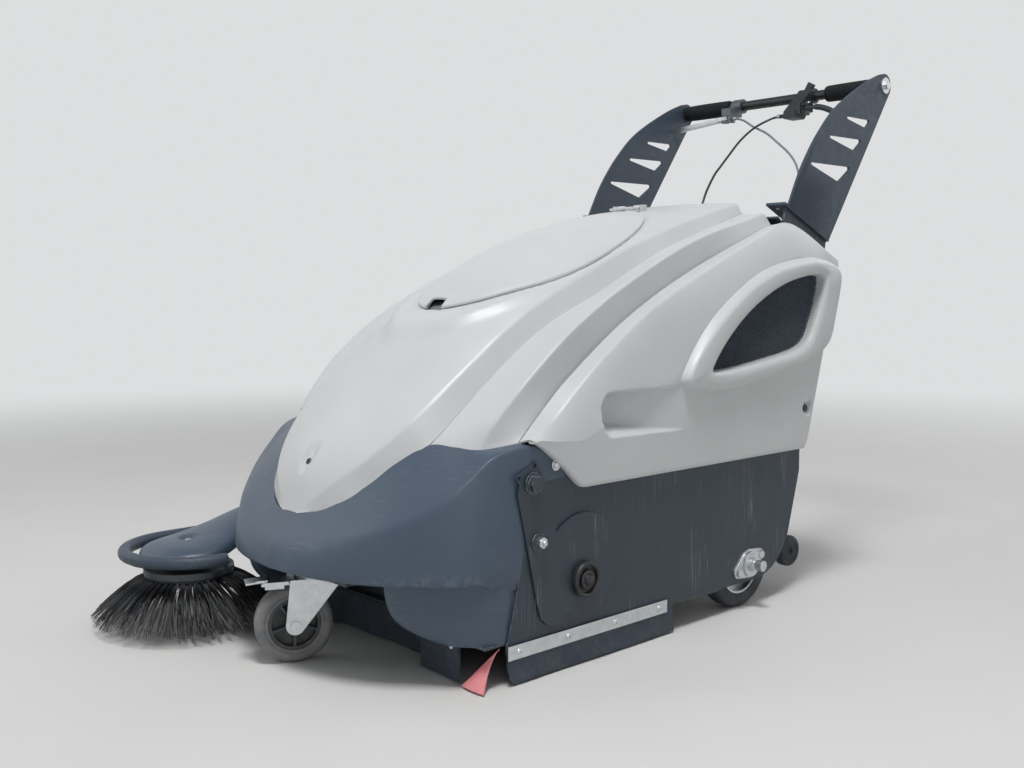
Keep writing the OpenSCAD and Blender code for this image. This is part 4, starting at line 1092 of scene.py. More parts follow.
    def lay_crown(self, bm: Mesh) -> None:
        """Adds the crown, with fine rows at the nose and the dimple of its screw.

        Args:
            bm: the mesh to add to.
        """
        side = [k / 22 * 0.9 for k in range(23)] + [0.93, 0.96, 0.98, 1.0, 1.03, 1.06, 1.1, 1.14, 1.4, 1.7,
                                                   1.95, 2.0, 2.2, 2.5, 3.0]
        parts = [-p for p in reversed(side[1:])] + side
        rows = [self.nose + 0.5 * k for k in range(40)]
        rows += [mix(self.nose + 20.0, self.rear, k / 180) for k in range(181)]
        rolled = len(self.nose_roll)
        last = len(rows) + rolled - 1

        def on_crown(u: float, v: float) -> Vector:
            """Point of the crown's grid; its first rows roll the nose under.

            Args:
                u: share across the grid.
                v: share along the grid.

            Returns:
                The point in the row frame.
            """
            j = round(v * last) - rolled
            p = pick(parts, u)
            if j < 0 and abs(p) > 2.0:
                p = math.copysign(2.0 + 0.3 * (abs(p) - 2.0), p)
            point = self.section(p, rows[max(j, 0)])
            if j < 0:
                point += Vector((0.0, *self.nose_roll[j]))
            deep = dimple(point.x / self.screw_r, (point.y - self.screw_y) / self.screw_r, 9.0, 0.7)
            return mm(*(point - Z * deep))

        lay_grid(bm, len(parts) - 1, last, on_crown, Z)

    def lay_terraces(self, bm: Mesh) -> None:
        """Adds the terrace on each side of the crown.

        Args:
            bm: the mesh to add to.
        """
        steps = [0.0, 0.06, 0.14, 0.25, 0.4, 0.55, 0.7, 0.8, 0.91, 0.94, 0.98, 1.02, 1.06, 1.1, 1.25, 1.4,
                 1.6, 1.8, 1.97, 2.0, 2.2, 2.5, 3.0]
        rows, rolled = 130, len(self.front_roll)
        for sign in SIDES:
            def on_terrace(u: float, v: float) -> Vector:
                """Point of a terrace's grid; its first rows roll the front edge under.

                Args:
                    u: share across the grid.
                    v: share along the grid.

                Returns:
                    The point in the row frame.
                """
                j = round(v * (rows + rolled)) - rolled
                point = self.terrace(pick(steps, u), max(j, 0) / rows)
                if j < 0:
                    out, drop = self.front_roll[j]
                    point += Vector((0.6 * out, -0.8 * out, drop))
                return mm(point.x * sign, point.y, point.z)

            lay_grid(bm, len(steps) - 1, rows + rolled, on_terrace, Z)


@dataclass
class Lid:
    """Oval lid: a pillow with a rolled edge, and a finger notch at its front."""

    hood: Hood
    wall: float = 2.8
    lift: float = 1.5
    dome: float = 12.0
    flat: float = 0.994
    roll: Flat = ((0.9965, -0.5), (0.999, -2.2), (0.998, -5.5))

    def point(self, r: float, angle: float) -> Vector:
        """Point of the lid at a share of its oval.

        Args:
            r: share of the oval.
            angle: way from its middle.

        Returns:
            The point in millimetres.
        """
        x = self.hood.lid_a * r * math.cos(angle)
        y = self.hood.lid_y + self.hood.lid_b * r * math.sin(angle)
        return Vector((x, y, self.hood.dome(x, y) + self.lift + self.dome * max(0.0, 1.0 - r * r) ** 0.6))

    def build(self) -> None:
        """Builds the lid and its hinge lugs."""
        bm = bmesh.new()
        rings = [0.0] + [math.sin(math.pi / 2 * k / 26) for k in range(1, 27)]
        last = len(rings) + len(self.roll) - 1

        def on_lid(u: float, v: float) -> Vector:
            """Point of the lid's grid, whose last rows roll its edge down.

            Args:
                u: share across the grid.
                v: share along the grid.

            Returns:
                The point in the row frame.
            """
            j = round(v * last)
            angle = math.tau * u
            if j < len(rings):
                return mm(*self.point(rings[j] * self.flat, angle))
            share, drop = self.roll[j - len(rings)]
            out = share - self.flat
            return mm(*(self.point(self.flat, angle) + Vector((
                out * self.hood.lid_a * math.cos(angle), out * self.hood.lid_b * math.sin(angle), drop))))

        lay_grid(bm, 128, last, on_lid, Z, join=True)
        lid = make("lid_shell", bm, self.wall)
        punch(lid, [mm(-18, 94, 500), mm(26, 94, 500), mm(23, 126, 500), mm(-15, 126, 500)], Z * 0.2)
        dress(lid, PALE_ABS, "lid", ["lid"], 40.0)
        bm = bmesh.new()
        for x in (-30.0, 12.0):
            slab(bm, [mm(x, 598, 752), mm(x + 18, 598, 752), mm(x + 18, 626, 753), mm(x, 626, 753)],
                 Z * 0.0055, 0.8)
            turn(bm, [(3.1, 0), (5, 0.6), (5, 17.4), (3.1, 18)], mm(x, 626, 758), X, 20)
        dress(make("lid_lugs", bm), PALE_ABS, "lid")


@dataclass
class SidePanels:
    """Pale side panels with a raised vent rim, a grip hollow and a screw recess."""

    hood: Hood
    face_x: float = 322.0
    wall: float = 3.0
    front: float = 46.0
    back: float = 886.0
    rows: int = 250
    shoulder_x: Table = ((44, 308), (103, 305), (203, 302), (324, 300), (456, 298), (654, 295), (758, 291),
                         (893, 321))
    shoulder_z: Table = ((44, 369), (103, 398), (203, 475), (324, 554), (456, 615), (654, 693), (758, 721),
                         (893, 649))
    low: Table = ((44, 364), (57, 361), (68, 354), (111, 321), (150, 286), (160, 284), (787, 284), (893, 647))
    inner: Table = ((46, 287), (88, 281.4), (156, 276.6), (300, 271.6), (468, 265.6), (723, 251.4),
                    (756, 249.4), (770, 267), (893, 316))
    grip_ends: tuple[float, float] = (195.0, 405.0)
    grip_z: float = 397.0
    grip_deep: float = 42.0
    screw: tuple[float, float] = (787.0, 364.0)
    eye: Flat = ((468, 463), (560, 545), (680, 602), (795, 622), (818, 604), (790, 530), (748, 486),
                 (620, 464), (500, 452))
    eye_spine: Flat = ((532.0, 483.0), (762.0, 566.0))
    rim: Flat = ((392, 448), (480, 545), (620, 625), (770, 655), (862, 646), (882, 616), (868, 545),
                 (845, 488), (790, 460), (640, 430), (500, 414), (420, 424))
    rim_top: float = 17.0
    rim_lip: float = 5.5
    rim_outer: float = 14.0
    rim_inner: float = 15.0
    rim_wall: float = 1.6
    rim_steps: int = 220
    thread: float = 2.6
    pitch: float = 6.0
    gauze_half: tuple[float, float] = (230.0, 190.0)

    def __post_init__(self) -> None:
        """Draws the smooth outlines of the vent."""
        self.eye_line = spline([Vector((y, z, 0)) for y, z in self.eye], True, 8)
        line = evenly(spline([Vector((y, z, 0)) for y, z in self.rim], True, 8), self.rim_steps, True)
        self.pairs = [(p, self.facing(p)) for p in line]
        self.under_rim = evenly([b.lerp(a, 9.0 / (a - b).length) for a, b in self.pairs], 110, True)

    def section(self, p: float, y: float) -> Vector:
        """Cross section of the panel.

        Args:
            p: 0 at the seam, 1 at the shoulder, 2 below it, 3 at the lower edge, 4 behind it; below 0 the
                seam's roll.
            y: place along the machine.

        Returns:
            The point in millimetres.
        """
        seam = station(self.inner, y, self.shoulder_z if y > self.hood.rear else self.hood.seam_z)
        ridge = station(self.shoulder_x, y, self.shoulder_z)
        low_z = (straight(self.low, y - 4.0) + straight(self.low, y + 4.0)) / 2.0
        tall = ridge.z - low_z
        drop = self.drop(y, tall)
        side = Vector((self.face_x, y, ridge.z - drop))
        tip = Vector((mix(ridge.x, self.face_x, 0.62), y, ridge.z - 0.26 * drop))
        low = Vector((self.face_x - 2.0, y, low_z))
        back = Vector((self.face_x - 15.0, y, low_z + min(1.0, 0.1 * tall)))
        start, turned = low + Vector((0.0, 0.0, min(9.0, 0.2 * tall))), low.lerp(back, 0.65)
        if p < 0.0:
            return seam.lerp(seam + Vector((0.5, 0.0, -8.0)), -p)
        if 0.88 < p < 1.1:
            return bend(seam.lerp(ridge, 0.88), ridge, bend(ridge, tip, side, 0.1), (p - 0.88) / 0.22)
        if p <= 1.0:
            return seam.lerp(ridge, p)
        if p <= 2.0:
            return bend(ridge, tip, side, p - 1.0)
        if p <= 2.9:
            return side.lerp(start, (p - 2.0) / 0.9)
        if p <= 3.3:
            return bend(start, low, turned, (p - 2.9) / 0.4)
        return turned.lerp(back, (p - 3.3) / 0.7)

    def drop(self, y: float, tall: float) -> float:
        """How far below its shoulder the panel becomes upright."""
        return min(mix(140.0, 66.0, ease((y - 330.0) / 260.0)), 0.5 * tall)

    def hollow_at(self, y: float, z: float) -> float:
        """Depth of the grip hollow and of the screw recess at a place of the side.

        Args:
            y: place along the machine.
            z: height.

        Returns:
            The depth in millimetres.
        """
        grip = 0.0
        front, rear = self.grip_ends
        if front < y < rear:
            arc = math.sqrt(max(0.0, 1.0 - max(0.0, (222.0 - y) / 27.0) ** 2))
            top, low = self.grip_z + 35.0 * arc, self.grip_z - 41.0 * arc
            fade = max(0.0, 1.0 - max(0.0, y - 226.0) / 178.0) ** 1.35
            deep = self.grip_deep * ease((y - 194.0) / 16.0) * fade
            grip = deep * ease((z - low) / (0.6 * deep + 1.0)) * ease((top - z) / (0.3 * deep + 1.0))
        return grip + dimple((y - self.screw[0]) / 17.0, (z - self.screw[1]) / 14.0, 8.0, 0.5)

    def build(self) -> None:
        """Builds both panels, the rims of their vents and the gauze."""
        for sign, name in zip(SIDES, ("left", "right")):
            self.panel(sign, name)
        self.rims()
        self.gauze()

    def panel(self, sign: float, name: str) -> None:
        """Builds one panel.

        Args:
            sign: 1 for the left panel, -1 for the right one.
            name: left or right.
        """
        bm = bmesh.new()
        parts = ([-1.0, -0.5, -0.2, 0.0, 0.05, 0.3, 0.6, 0.88, 0.92, 0.96, 1.0, 1.03, 1.06, 1.1]
                 + [1.1 + 0.9 * k / 46 for k in range(1, 47)]
                 + [2.0 + 0.9 * k / 72 for k in range(1, 73)] + [2.97, 3.05, 3.13, 3.21, 3.3, 3.6, 4.0])
        last = self.rows + 3

        def on_panel(u: float, v: float) -> Vector:
            """Point of the panel's grid with its hollows; its last rows roll the rear edge in.

            Args:
                u: share across the grid.
                v: share along the grid.

            Returns:
                The point in the row frame.
            """
            p = pick(parts, u)
            j = round(v * last)
            y = mix(self.front, self.back, min(1.0, j / self.rows))
            point = self.section(p, y)
            if 1.0 < p < 3.0:
                point.x -= self.hollow_at(y, point.z)
            if j > self.rows:
                point += Vector((-3.0, 0.8, -0.5)) * (j - self.rows)
            return mm(point.x * sign, point.y, point.z)

        lay_grid(bm, len(parts) - 1, last, on_panel, X * sign)
        panel = make("side_panel_shell_" + name, bm, self.wall)
        punch(panel, [mm(sign * 300, p.x, p.y) for p in self.under_rim], X * (0.05 * sign))
        dress(panel, PALE_ABS, body_of("side_panel_" + name), ["side_panel_" + name], 40.0)

    def facing(self, p: Vector) -> Vector:
        """Point of the vent's edge that lies straight in from a point of the rim's outer crease.

        Args:
            p: the point of the crease, in the plane of the side.

        Returns:
            The point of the vent's edge.
        """
        start, end = (Vector((*place, 0.0)) for place in self.eye_spine)
        spine = start.lerp(end, clamp((p - start).dot(end - start) / (end - start).length_squared))
        found = spine
        for a, b in zip(self.eye_line, self.eye_line[1:] + self.eye_line[:1]):
            hit = intersect_line_line_2d(p.xy, spine.xy, a.xy, b.xy)
            if hit is not None and (Vector((*hit, 0.0)) - p).length < (found - p).length:
                found = Vector((*hit, 0.0))
        return found

    def rims(self) -> None:
        """Builds the raised rim round each vent: outer crease, round top and the wall that runs in."""
        rows = [(True, d,
                 self.rim_top * math.sin(math.pi / 2 * d / self.rim_outer) - (0.6 if d == 0 else 0.0))
                for d in (0.0, 0.6, 1.6, 3.2, 5.2, 7.7, 10.7, self.rim_outer)]
        rows += [(False, d, mix(self.rim_lip, self.rim_top, math.sqrt(1.0 - (1.0 - d / self.rim_inner) ** 2)))
                 for d in (self.rim_inner, 11.0, 8.0, 5.5, 3.5, 2.0, 0.9, 0.2)]
        rows += [(False, -0.2, 4.2), (False, -0.5, 2.0), (False, -0.8, -3.0), (False, -1.0, -12.5)]
        points: list[list[Vector]] = []
        for a, b in self.pairs:
            points.append([])
            for outer, d, height in rows:
                place = a.lerp(b, d / (b - a).length) if outer else b.lerp(a, d / (b - a).length)
                points[-1].append(Vector((self.surface_x(place.x, place.y) + height, place.x, place.y)))
        bm = bmesh.new()
        layer = bm.verts.layers.float.new(EDGE)
        for sign in SIDES:
            def on_rim(u: float, v: float) -> Vector:
                """Point of a rim's grid."""
                point = points[round(u * self.rim_steps) % self.rim_steps][round(v * (len(rows) - 1))]
                return mm(sign * point.x, point.y, point.z)

            lay_grid(bm, self.rim_steps, len(rows) - 1, on_rim, X * sign, join=True)
        for vert in bm.verts:
            place = drawn(vert.co)
            near = gap_to(self.eye_line, place.y, place.z)
            above = place.z - 470.0 - (place.y - 468.0) * 0.42
            seen = 1.0 if place.x > 0.0 else 0.0
            vert[layer] = (seen * ease((6.0 - near) / 3.0) * ease(above / 20.0)
                           * ease((700.0 - place.y) / 60.0))
        dress(make("vent_rims", bm, self.rim_wall), PALE_ABS, "chassis", sharp=50.0)

    def surface_x(self, y: float, z: float) -> float:
        """Distance of the panel's bare side from the middle at a place.

        Args:
            y: place along the machine.
            z: height.

        Returns:
            The distance in millimetres.
        """
        ridge, low = curve(self.shoulder_z, y), straight(self.low, y)
        side = ridge - self.drop(y, ridge - low)
        if z <= side:
            return self.face_x - 2.0 * (side - z) / max(side - low, 1.0)
        near, far = 1.0, 2.0
        for _ in range(14):
            p = (near + far) / 2.0
            near, far = (p, far) if self.section(p, y).z > z else (near, p)
        return self.section(far, y).x

    def gauze(self) -> None:
        """Builds the woven gauze behind each vent; its threads are drawn 6 mm apart so that they show."""
        bm = bmesh.new()
        turned = Matrix.Rotation(math.radians(-32.0), 3, "Z")
        half_y, half_z = self.gauze_half

        def on_gauze(u: float, v: float) -> Vector:
            """Point of the slanting grid in the plane of the vent."""
            return (turned @ Vector(((u - 0.5) * 2 * half_y, (v - 0.5) * 2 * half_z, 0.0))
                    + Vector((642, 536, 0)))

        lay_grid(bm, round(2 * half_y / self.pitch), round(2 * half_z / self.pitch), on_gauze)
        outside = [f for f in bm.faces if gap_to(self.eye_line, *f.calc_center_median().xy) > 6.0]
        bmesh.ops.delete(bm, geom=outside, context="FACES")
        for vert in bm.verts:
            y, z = vert.co.xy
            vert.co = mm(min(self.surface_x(y, z) - 7.5, 314.5), y, z)
        gauze = make("vent_gauze", bm)
        modify(gauze, "WIREFRAME", {"thickness": self.thread / PER_M, "use_even_offset": False,
                                    "use_boundary": True})
        bm = bmesh.new()
        bm.from_mesh(gauze.data)
        twin = bmesh.ops.duplicate(bm, geom=bm.verts[:] + bm.edges[:] + bm.faces[:])["geom"]
        for vert in (g for g in twin if isinstance(g, Vert)):
            vert.co.x = -2.0 * MIDDLE.x / PER_M - vert.co.x
        bmesh.ops.reverse_faces(bm, faces=[g for g in twin if isinstance(g, Face)])
        bm.to_mesh(gauze.data)
        bm.free()
        dress(gauze, GAUZE, "chassis", ["vent_meshes"], 60.0)


# ---------------------------------------------------------------- bumper and plates


@dataclass
class Bumper:
    """Dark front moulding: lip, leaning wall, soft crease and top face, with a cheek on each side below.

    Its lines have a point at each station: 0 in the middle, 8 at the side, 10 at the ear's tip.
    """

    wall: float = 4.0
    lip_z: float = 163.0
    cheek_z: float = 68.0
    corner: int = 8
    lip: Route = (
        (0, -219, 163), (76, -212, 163), (150, -190, 163), (208, -157, 163), (252, -117, 163),
        (285, -84, 163), (303, -50, 163), (308, -16, 163), (308.4, 28, 163), (308.7, 52, 300),
        (308.7, 121, 305.5))
    crease: Route = (
        (0, -207, 206), (74, -198, 210), (146, -177, 224), (200, -149, 243), (243, -112, 265),
        (270, -78, 289), (282, -46, 316), (291, -8, 346), (308.6, 50, 360.5), (308.7, 78, 354),
        (308.7, 126, 314))
    edge: Route = (
        (0, -178, 249), (40, -173, 251), (80, -156, 264), (124, -120, 297), (150, -86, 330), (180, -44, 358),
        (216, -24, 357), (252, -5, 354), (284, 44, 362), (297, 80, 357), (303, 130, 317))
    cheek_top: Flat = ((306.8, -10), (293, -50), (258, -92), (208, -140), (190, -146), (188, -62), (240, 6),
                       (292, 10), (294, 48), (303, 52), (303, 8))
    cheek_foot: Flat = ((305.5, 2), (296, -42), (268, -68), (226, -76), (202, -64), (206, -40), (218, 6),
                        (292, 8), (294, 48), (303, 52), (303, 8))
    arm_hole: tuple[float, float, float] = (-338, 10, 205)
    arm_hole_r: float = 18.0

    def along(self, line: Route, u: float) -> Vector:
        """Point of a line at a station: on a smooth curve to the corner, and straight on to the ear's tip.

        Args:
            line: the line, with one point for each station.
            u: the station.

        Returns:
            The point in millimetres.
        """
        if u <= self.corner:
            return Vector([curve([(k, p[axis]) for k, p in enumerate(line[:self.corner + 1])], u)
                           for axis in range(3)])
        k = min(int(u), len(line) - 2)
        return Vector(line[k]).lerp(Vector(line[k + 1]), u - k)

    def section(self, u: float, p: float) -> Vector:
        """Section of the moulding.

        Args:
            u: station from 0 in the middle over 8 at the side to 10 at the ear's tip.
            p: 0 under the lip, 1 at the lip, 2 at the crease, 3 at the hood, 4 under the hood.

        Returns:
            The point in millimetres.
        """
        lip, crease, edge = (self.along(line, u) for line in (self.lip, self.crease, self.edge))
        edge = edge + (crease - edge).normalized() * 2.0
        inward = Vector((crease.x - lip.x, crease.y - lip.y, 0.0))
        inward = inward.normalized() if inward.length > 1.0 else Vector((-0.5, 0.5, 0.0))
        inward = inward.lerp(-X, ease(u - 7.5)) * mix(13.0, 5.0, ease(u - 7.5))
        flush = ease((u - 5.8) / 1.2) * (1.0 - ease((u - 7.7) / 0.3))
        tip = lip.lerp(crease, 0.5)
        tip = tip + (Vector((lip.x, lip.y, 0)) - Vector((crease.x, crease.y, 0))) * 0.5

        def wall(q: float) -> Vector:
            """Bulged wall from the lip to the crease."""
            return bend(lip, tip, crease, q)

        if p < 1.0:
            under = bend(lip + inward + Z * 2.0, lip - Z * 3.0, lip + Z * 4.0, p)
            return under.lerp(lip + Z * mix(-18.0, 4.0, p) + inward * (0.7 * (1.0 - p)), flush)
        low, high = mix(0.8, 0.93, ease(u / 5.0)), mix(0.2, 0.06, ease(u / 5.0))
        if p < 1.05:
            return (lip + Z * 4.0).lerp(wall(0.12), (p - 1.0) / 0.05)
        if p < 1.8:
            return wall(mix(0.12, low, (p - 1.05) / 0.75))
        if p < 2.25:
            return bend(wall(low), crease, crease.lerp(edge, high), (p - 1.8) / 0.45)
        if p <= 3.0:
            return crease.lerp(edge, mix(high, 1.0, (p - 2.25) / 0.75))
        return edge + Vector((0.0, 2.0, -10.0)) * (p - 3.0) + (edge - crease).normalized() * (3.0 * (p - 3.0))

    def build(self) -> None:
        """Builds the moulding with its ears, and its cheeks."""
        parts = ([0.0, 0.2, 0.4, 0.6, 0.8, 0.99, 1.05] + [1.05 + 0.75 * k / 12 for k in range(1, 13)]
                 + [1.86, 1.92, 1.98, 2.04, 2.1, 2.18, 2.25, 2.4, 2.6, 2.8, 2.95, 3.0, 3.4, 4.0])
        bm = bmesh.new()

        def on_moulding(u: float, v: float) -> Vector:
            """Point of the moulding's grid.

            Args:
                u: share across the grid.
                v: share along the grid.

            Returns:
                The point in the row frame.
            """
            place = (u - 0.5) * 20.0
            point = self.section(abs(place), pick(parts, v))
            return mm(math.copysign(point.x, place), point.y, point.z)

        lay_grid(bm, 220, len(parts) - 1, on_moulding, -Y)
        layer = bm.verts.layers.float.new(EDGE)
        for vert in bm.verts:
            place = drawn(vert.co)
            low = ease((20.0 - abs(place.z - self.lip_z - 4.0)) / 20.0)
            vert[layer] = 0.4 * low * ease((abs(place.x) - 150.0) / 120.0) * ease((-30.0 - place.y) / 30.0)
        self.mount(make("bumper_shell", bm, self.wall), ["front_bumper"])
        self.cheeks()

    def mount(self, piece: Piece, stands_for: Sequence[str] = ()) -> None:
        """Bores the hole for the side brush's arm and dresses a piece of the moulding.

        Args:
            piece: the piece.
            stands_for: nodes of the frame that it replaces.
        """
        bore = bmesh.new()
        r = self.arm_hole_r
        turn(bore, [(0, 0), (r, 0), (r, 90), (0, 90)], mm(*self.arm_hole), X, 40)
        carve(piece, bore)
        dress(piece, ANTHRACITE, "chassis", stands_for, 45.0)

    def cheeks(self) -> None:
        """Builds the two cheeks under the lip."""
        bm = bmesh.new()
        top, foot = self.rounded(self.cheek_top), self.rounded(self.cheek_foot)
        around = len(top)
        for sign in SIDES:
            def on_cheek(u: float, v: float) -> Vector:
                """Point of a cheek's wall, which curves in towards its foot.

                Args:
                    u: share across the grid.
                    v: share along the grid.

                Returns:
                    The point in the row frame.
                """
                k = round(u * around) % around
                t = 1.0 - v
                p = top[k].lerp(foot[k], 0.12 * t + 0.88 * t ** 4.0)
                return mm(sign * p.x, p.y, mix(self.lip_z + 14.0, self.cheek_z, t))

            verts = lay_grid(bm, around, 16, on_cheek, join=True)
            edges = dict.fromkeys(e for v in verts for e in v.link_edges)
            rim = [e for e in edges if e.is_boundary and max(v.co.z for v in e.verts) < 0.07]
            bmesh.ops.edgeloop_fill(bm, edges=rim)
        recalculate(bm)
        self.mount(make("bumper_cheeks", bm))

    def rounded(self, outline: Flat, radius: float = 16.0) -> list[Vector]:
        """Outline with its corners rounded.

        Args:
            outline: corners in the plan.
            radius: how far each corner is cut back, in millimetres.

        Returns:
            The points of the rounded outline.
        """
        p = [Vector((x, y, 0.0)) for x, y in outline]
        line: list[Vector] = []
        for k, corner in enumerate(p):
            before, after = p[k - 1], p[(k + 1) % len(p)]
            a = corner + (before - corner).normalized() * min(radius, 0.45 * (before - corner).length)
            c = corner + (after - corner).normalized() * min(radius, 0.45 * (after - corner).length)
            line += [bend(a, corner, c, t / 4) for t in range(5)]
        return line


@dataclass
class Metalwork:
    """Plates, brackets and housings whose shape the frame already has; their edges are rounded and worn."""

    softened: Sequence[tuple[Finish, float, Sequence[str]]] = (
        (PAINTED_STEEL, 0.9, ("chassis_frame", "side_plate_left", "side_plate_right", "brush_arm_left",
                              "brush_arm_right")),
        (POWDER_COAT, 1.1, ("arm_left", "arm_right", "side_arm", "side_arm_bracket", "control_panel",
                            "rear_cover", "ring_guard")),
        (ZINC, 0.6, ("arm_bolts", "caster_plate", "axle_bearings", "skirt_strips", "drive_axle", "wheel_rims",
                     "caster_fork", "caster_brake", "motor_pulley")),
        (BLACK_NYLON, 1.6, ("drive_housing", "drive_lever", "key_switch", "batteries", "hopper")),
        (DARK_BOLTS, 0.8, ("pivot_studs",)), (BAR_LACQUER, 0.6, ("handlebar",)),
        (BLASTED_CASTING, 1.6, ("brake_clamp",)), (PALE_ABS, 0.6, ("lid_hinge",)),
        (CAST_ALUMINIUM, 2.4, ("brake_lever",)), (MOTOR_PAINT, 1.2, ("brush_motor",)),
        (MOTOR_PAINT, 2.0, ("drive_motor",)), (MOTOR_PAINT, 1.5, ("suction_fan", "side_brush_motor")),
        (FILTER_PAPER, 0.6, ("panel_filter",)), (BELT_RUBBER, 0.7, ("brush_belt",)),
        (BRUSH_PLASTIC, 0.8, ("brush_core",)), (BRUSH_PLASTIC, 1.5, ("side_brush_disc",)),
        (HUB_PLASTIC, 0.8, ("caster_hub",)))

    def build(self) -> None:
        """Builds every softened piece."""
        for finish, width, nodes in self.softened:
            for node in nodes:
                soften(node, width, finish)


@dataclass
class Fasteners:
    """Screws on the panels, strips and nose, the hopper's grip rim and the knobs of the main brush."""

    strip_screws: Sequence[float] = (22.0, 128.0, 238.0, 350.0)
    hang_out: float = 312.0
    grip_bars: Sequence[tuple[float, float, float, float]] = (
        (0, 370.5, 208, 9), (0, 325.5, 208, 9), (-97, 348, 14, 36), (97, 348, 14, 36))
    knob_r: float = 29.0
    far_knob_r: float = 25.0

    def build(self) -> None:
        """Builds the screws, the grip rim and the knobs."""
        self.plated()
        self.dark()
        self.knobs()

    def plated(self) -> None:
        """Builds the screws of the strips and the rear cover, and the bolts of the hanging plates."""
        bm = bmesh.new()
        for sign in SIDES:
            out = X * sign
            for y in self.strip_screws:
                pan_screw(bm, mm(sign * 312.4, y, 52), out, 5.0)
            hexagon(bm, mm(sign * 309.8, 101, 326), out, 6.0, 4.5)
            turn(bm, [(0, 1.6), (8.6, 1.6), (9, 1.2), (9, 0)], mm(sign * 309.6, 101, 326), out, 24)
            hexagon(bm, mm(sign * (self.hang_out + 2.6), 61, 213), out, 9.0, 10.8)
            turn(bm, [(0, 4.2), (3.4, 4.2), (4.2, 3.4), (4.2, 0)], mm(sign * (self.hang_out + 13.2), 61, 213),
                 out, 24)
        for x in (-238.0, 0.0, 238.0):
            for down in (0.1, 0.9):
                pan_screw(bm, mm(x, 884.2 - 72.0 * down, 647.0 - 235.0 * down), Vector((0, 0.956, -0.293)),
                          6.0)
        dress(make("cover_screws", bm), ZINC, "chassis", ["panel_screws"], 45.0)

    def dark(self) -> None:
        """Builds the rim of the hopper's grip and the screws in the dimples, drawn dark as painted shade of
        their recesses.
        """
        bm = bmesh.new()
        for x, z, wide, tall in self.grip_bars:
            slab(bm, [mm(x + a * wide / 2, 793.5, z + b * tall / 2)
                      for a, b in ((-1, -1), (1, -1), (1, 1), (-1, 1))],
                 Y * 0.0055, 1.5)
        dress(make("hopper_grip_rim", bm), BLACK_NYLON, "hopper")
        # the dimple screws are dark: painted shade of the recesses they sit in
        bm = bmesh.new()
        for sign in SIDES:
            pan_screw(bm, mm(sign * 314.5, 787, 364), X * sign, 7.0)
        pan_screw(bm, mm(0, -141, 322), Vector((0, -0.79, 0.62)), 6.0)
        dress(make("dimple_screws_painted_shade", bm), DARK_BOLTS, "chassis", sharp=45.0)

    def knobs(self) -> None:
        """Builds the knob on each end of the main brush's shaft."""
        bm = bmesh.new()
        r = self.knob_r
        turn(bm, [(10.2, 0.5), (r - 1.5, 0.5), (r, 2.0), (r, 8.5), (r - 1.4, 10.8), (r - 4.5, 11.4),
                  (r - 6.6, 9.8), (r - 7.6, 4.6), (17, 4.2), (15.6, 5.4), (15, 9.4), (13.6, 10.8), (9.6, 11),
                  (8.8, 9.6), (7.8, 12.4), (6, 13.2), (0, 13.2)], mm(self.hang_out, 163, 138), X, 64)
        r = self.far_knob_r
        turn(bm, [(10.2, 0), (r, 0.8), (r, 4), (r - 0.8, 5), (r, 6), (r, 10.6), (r - 1.2, 12), (14, 12),
                  (13, 10.8), (0, 10.8)], mm(-332, 163, 138), -X, 64)
        dress(make("brush_shaft_knobs", bm), BLACK_NYLON, "main_brush", ["brush_knobs"], 30.0)


# ---------------------------------------------------------------- rubber


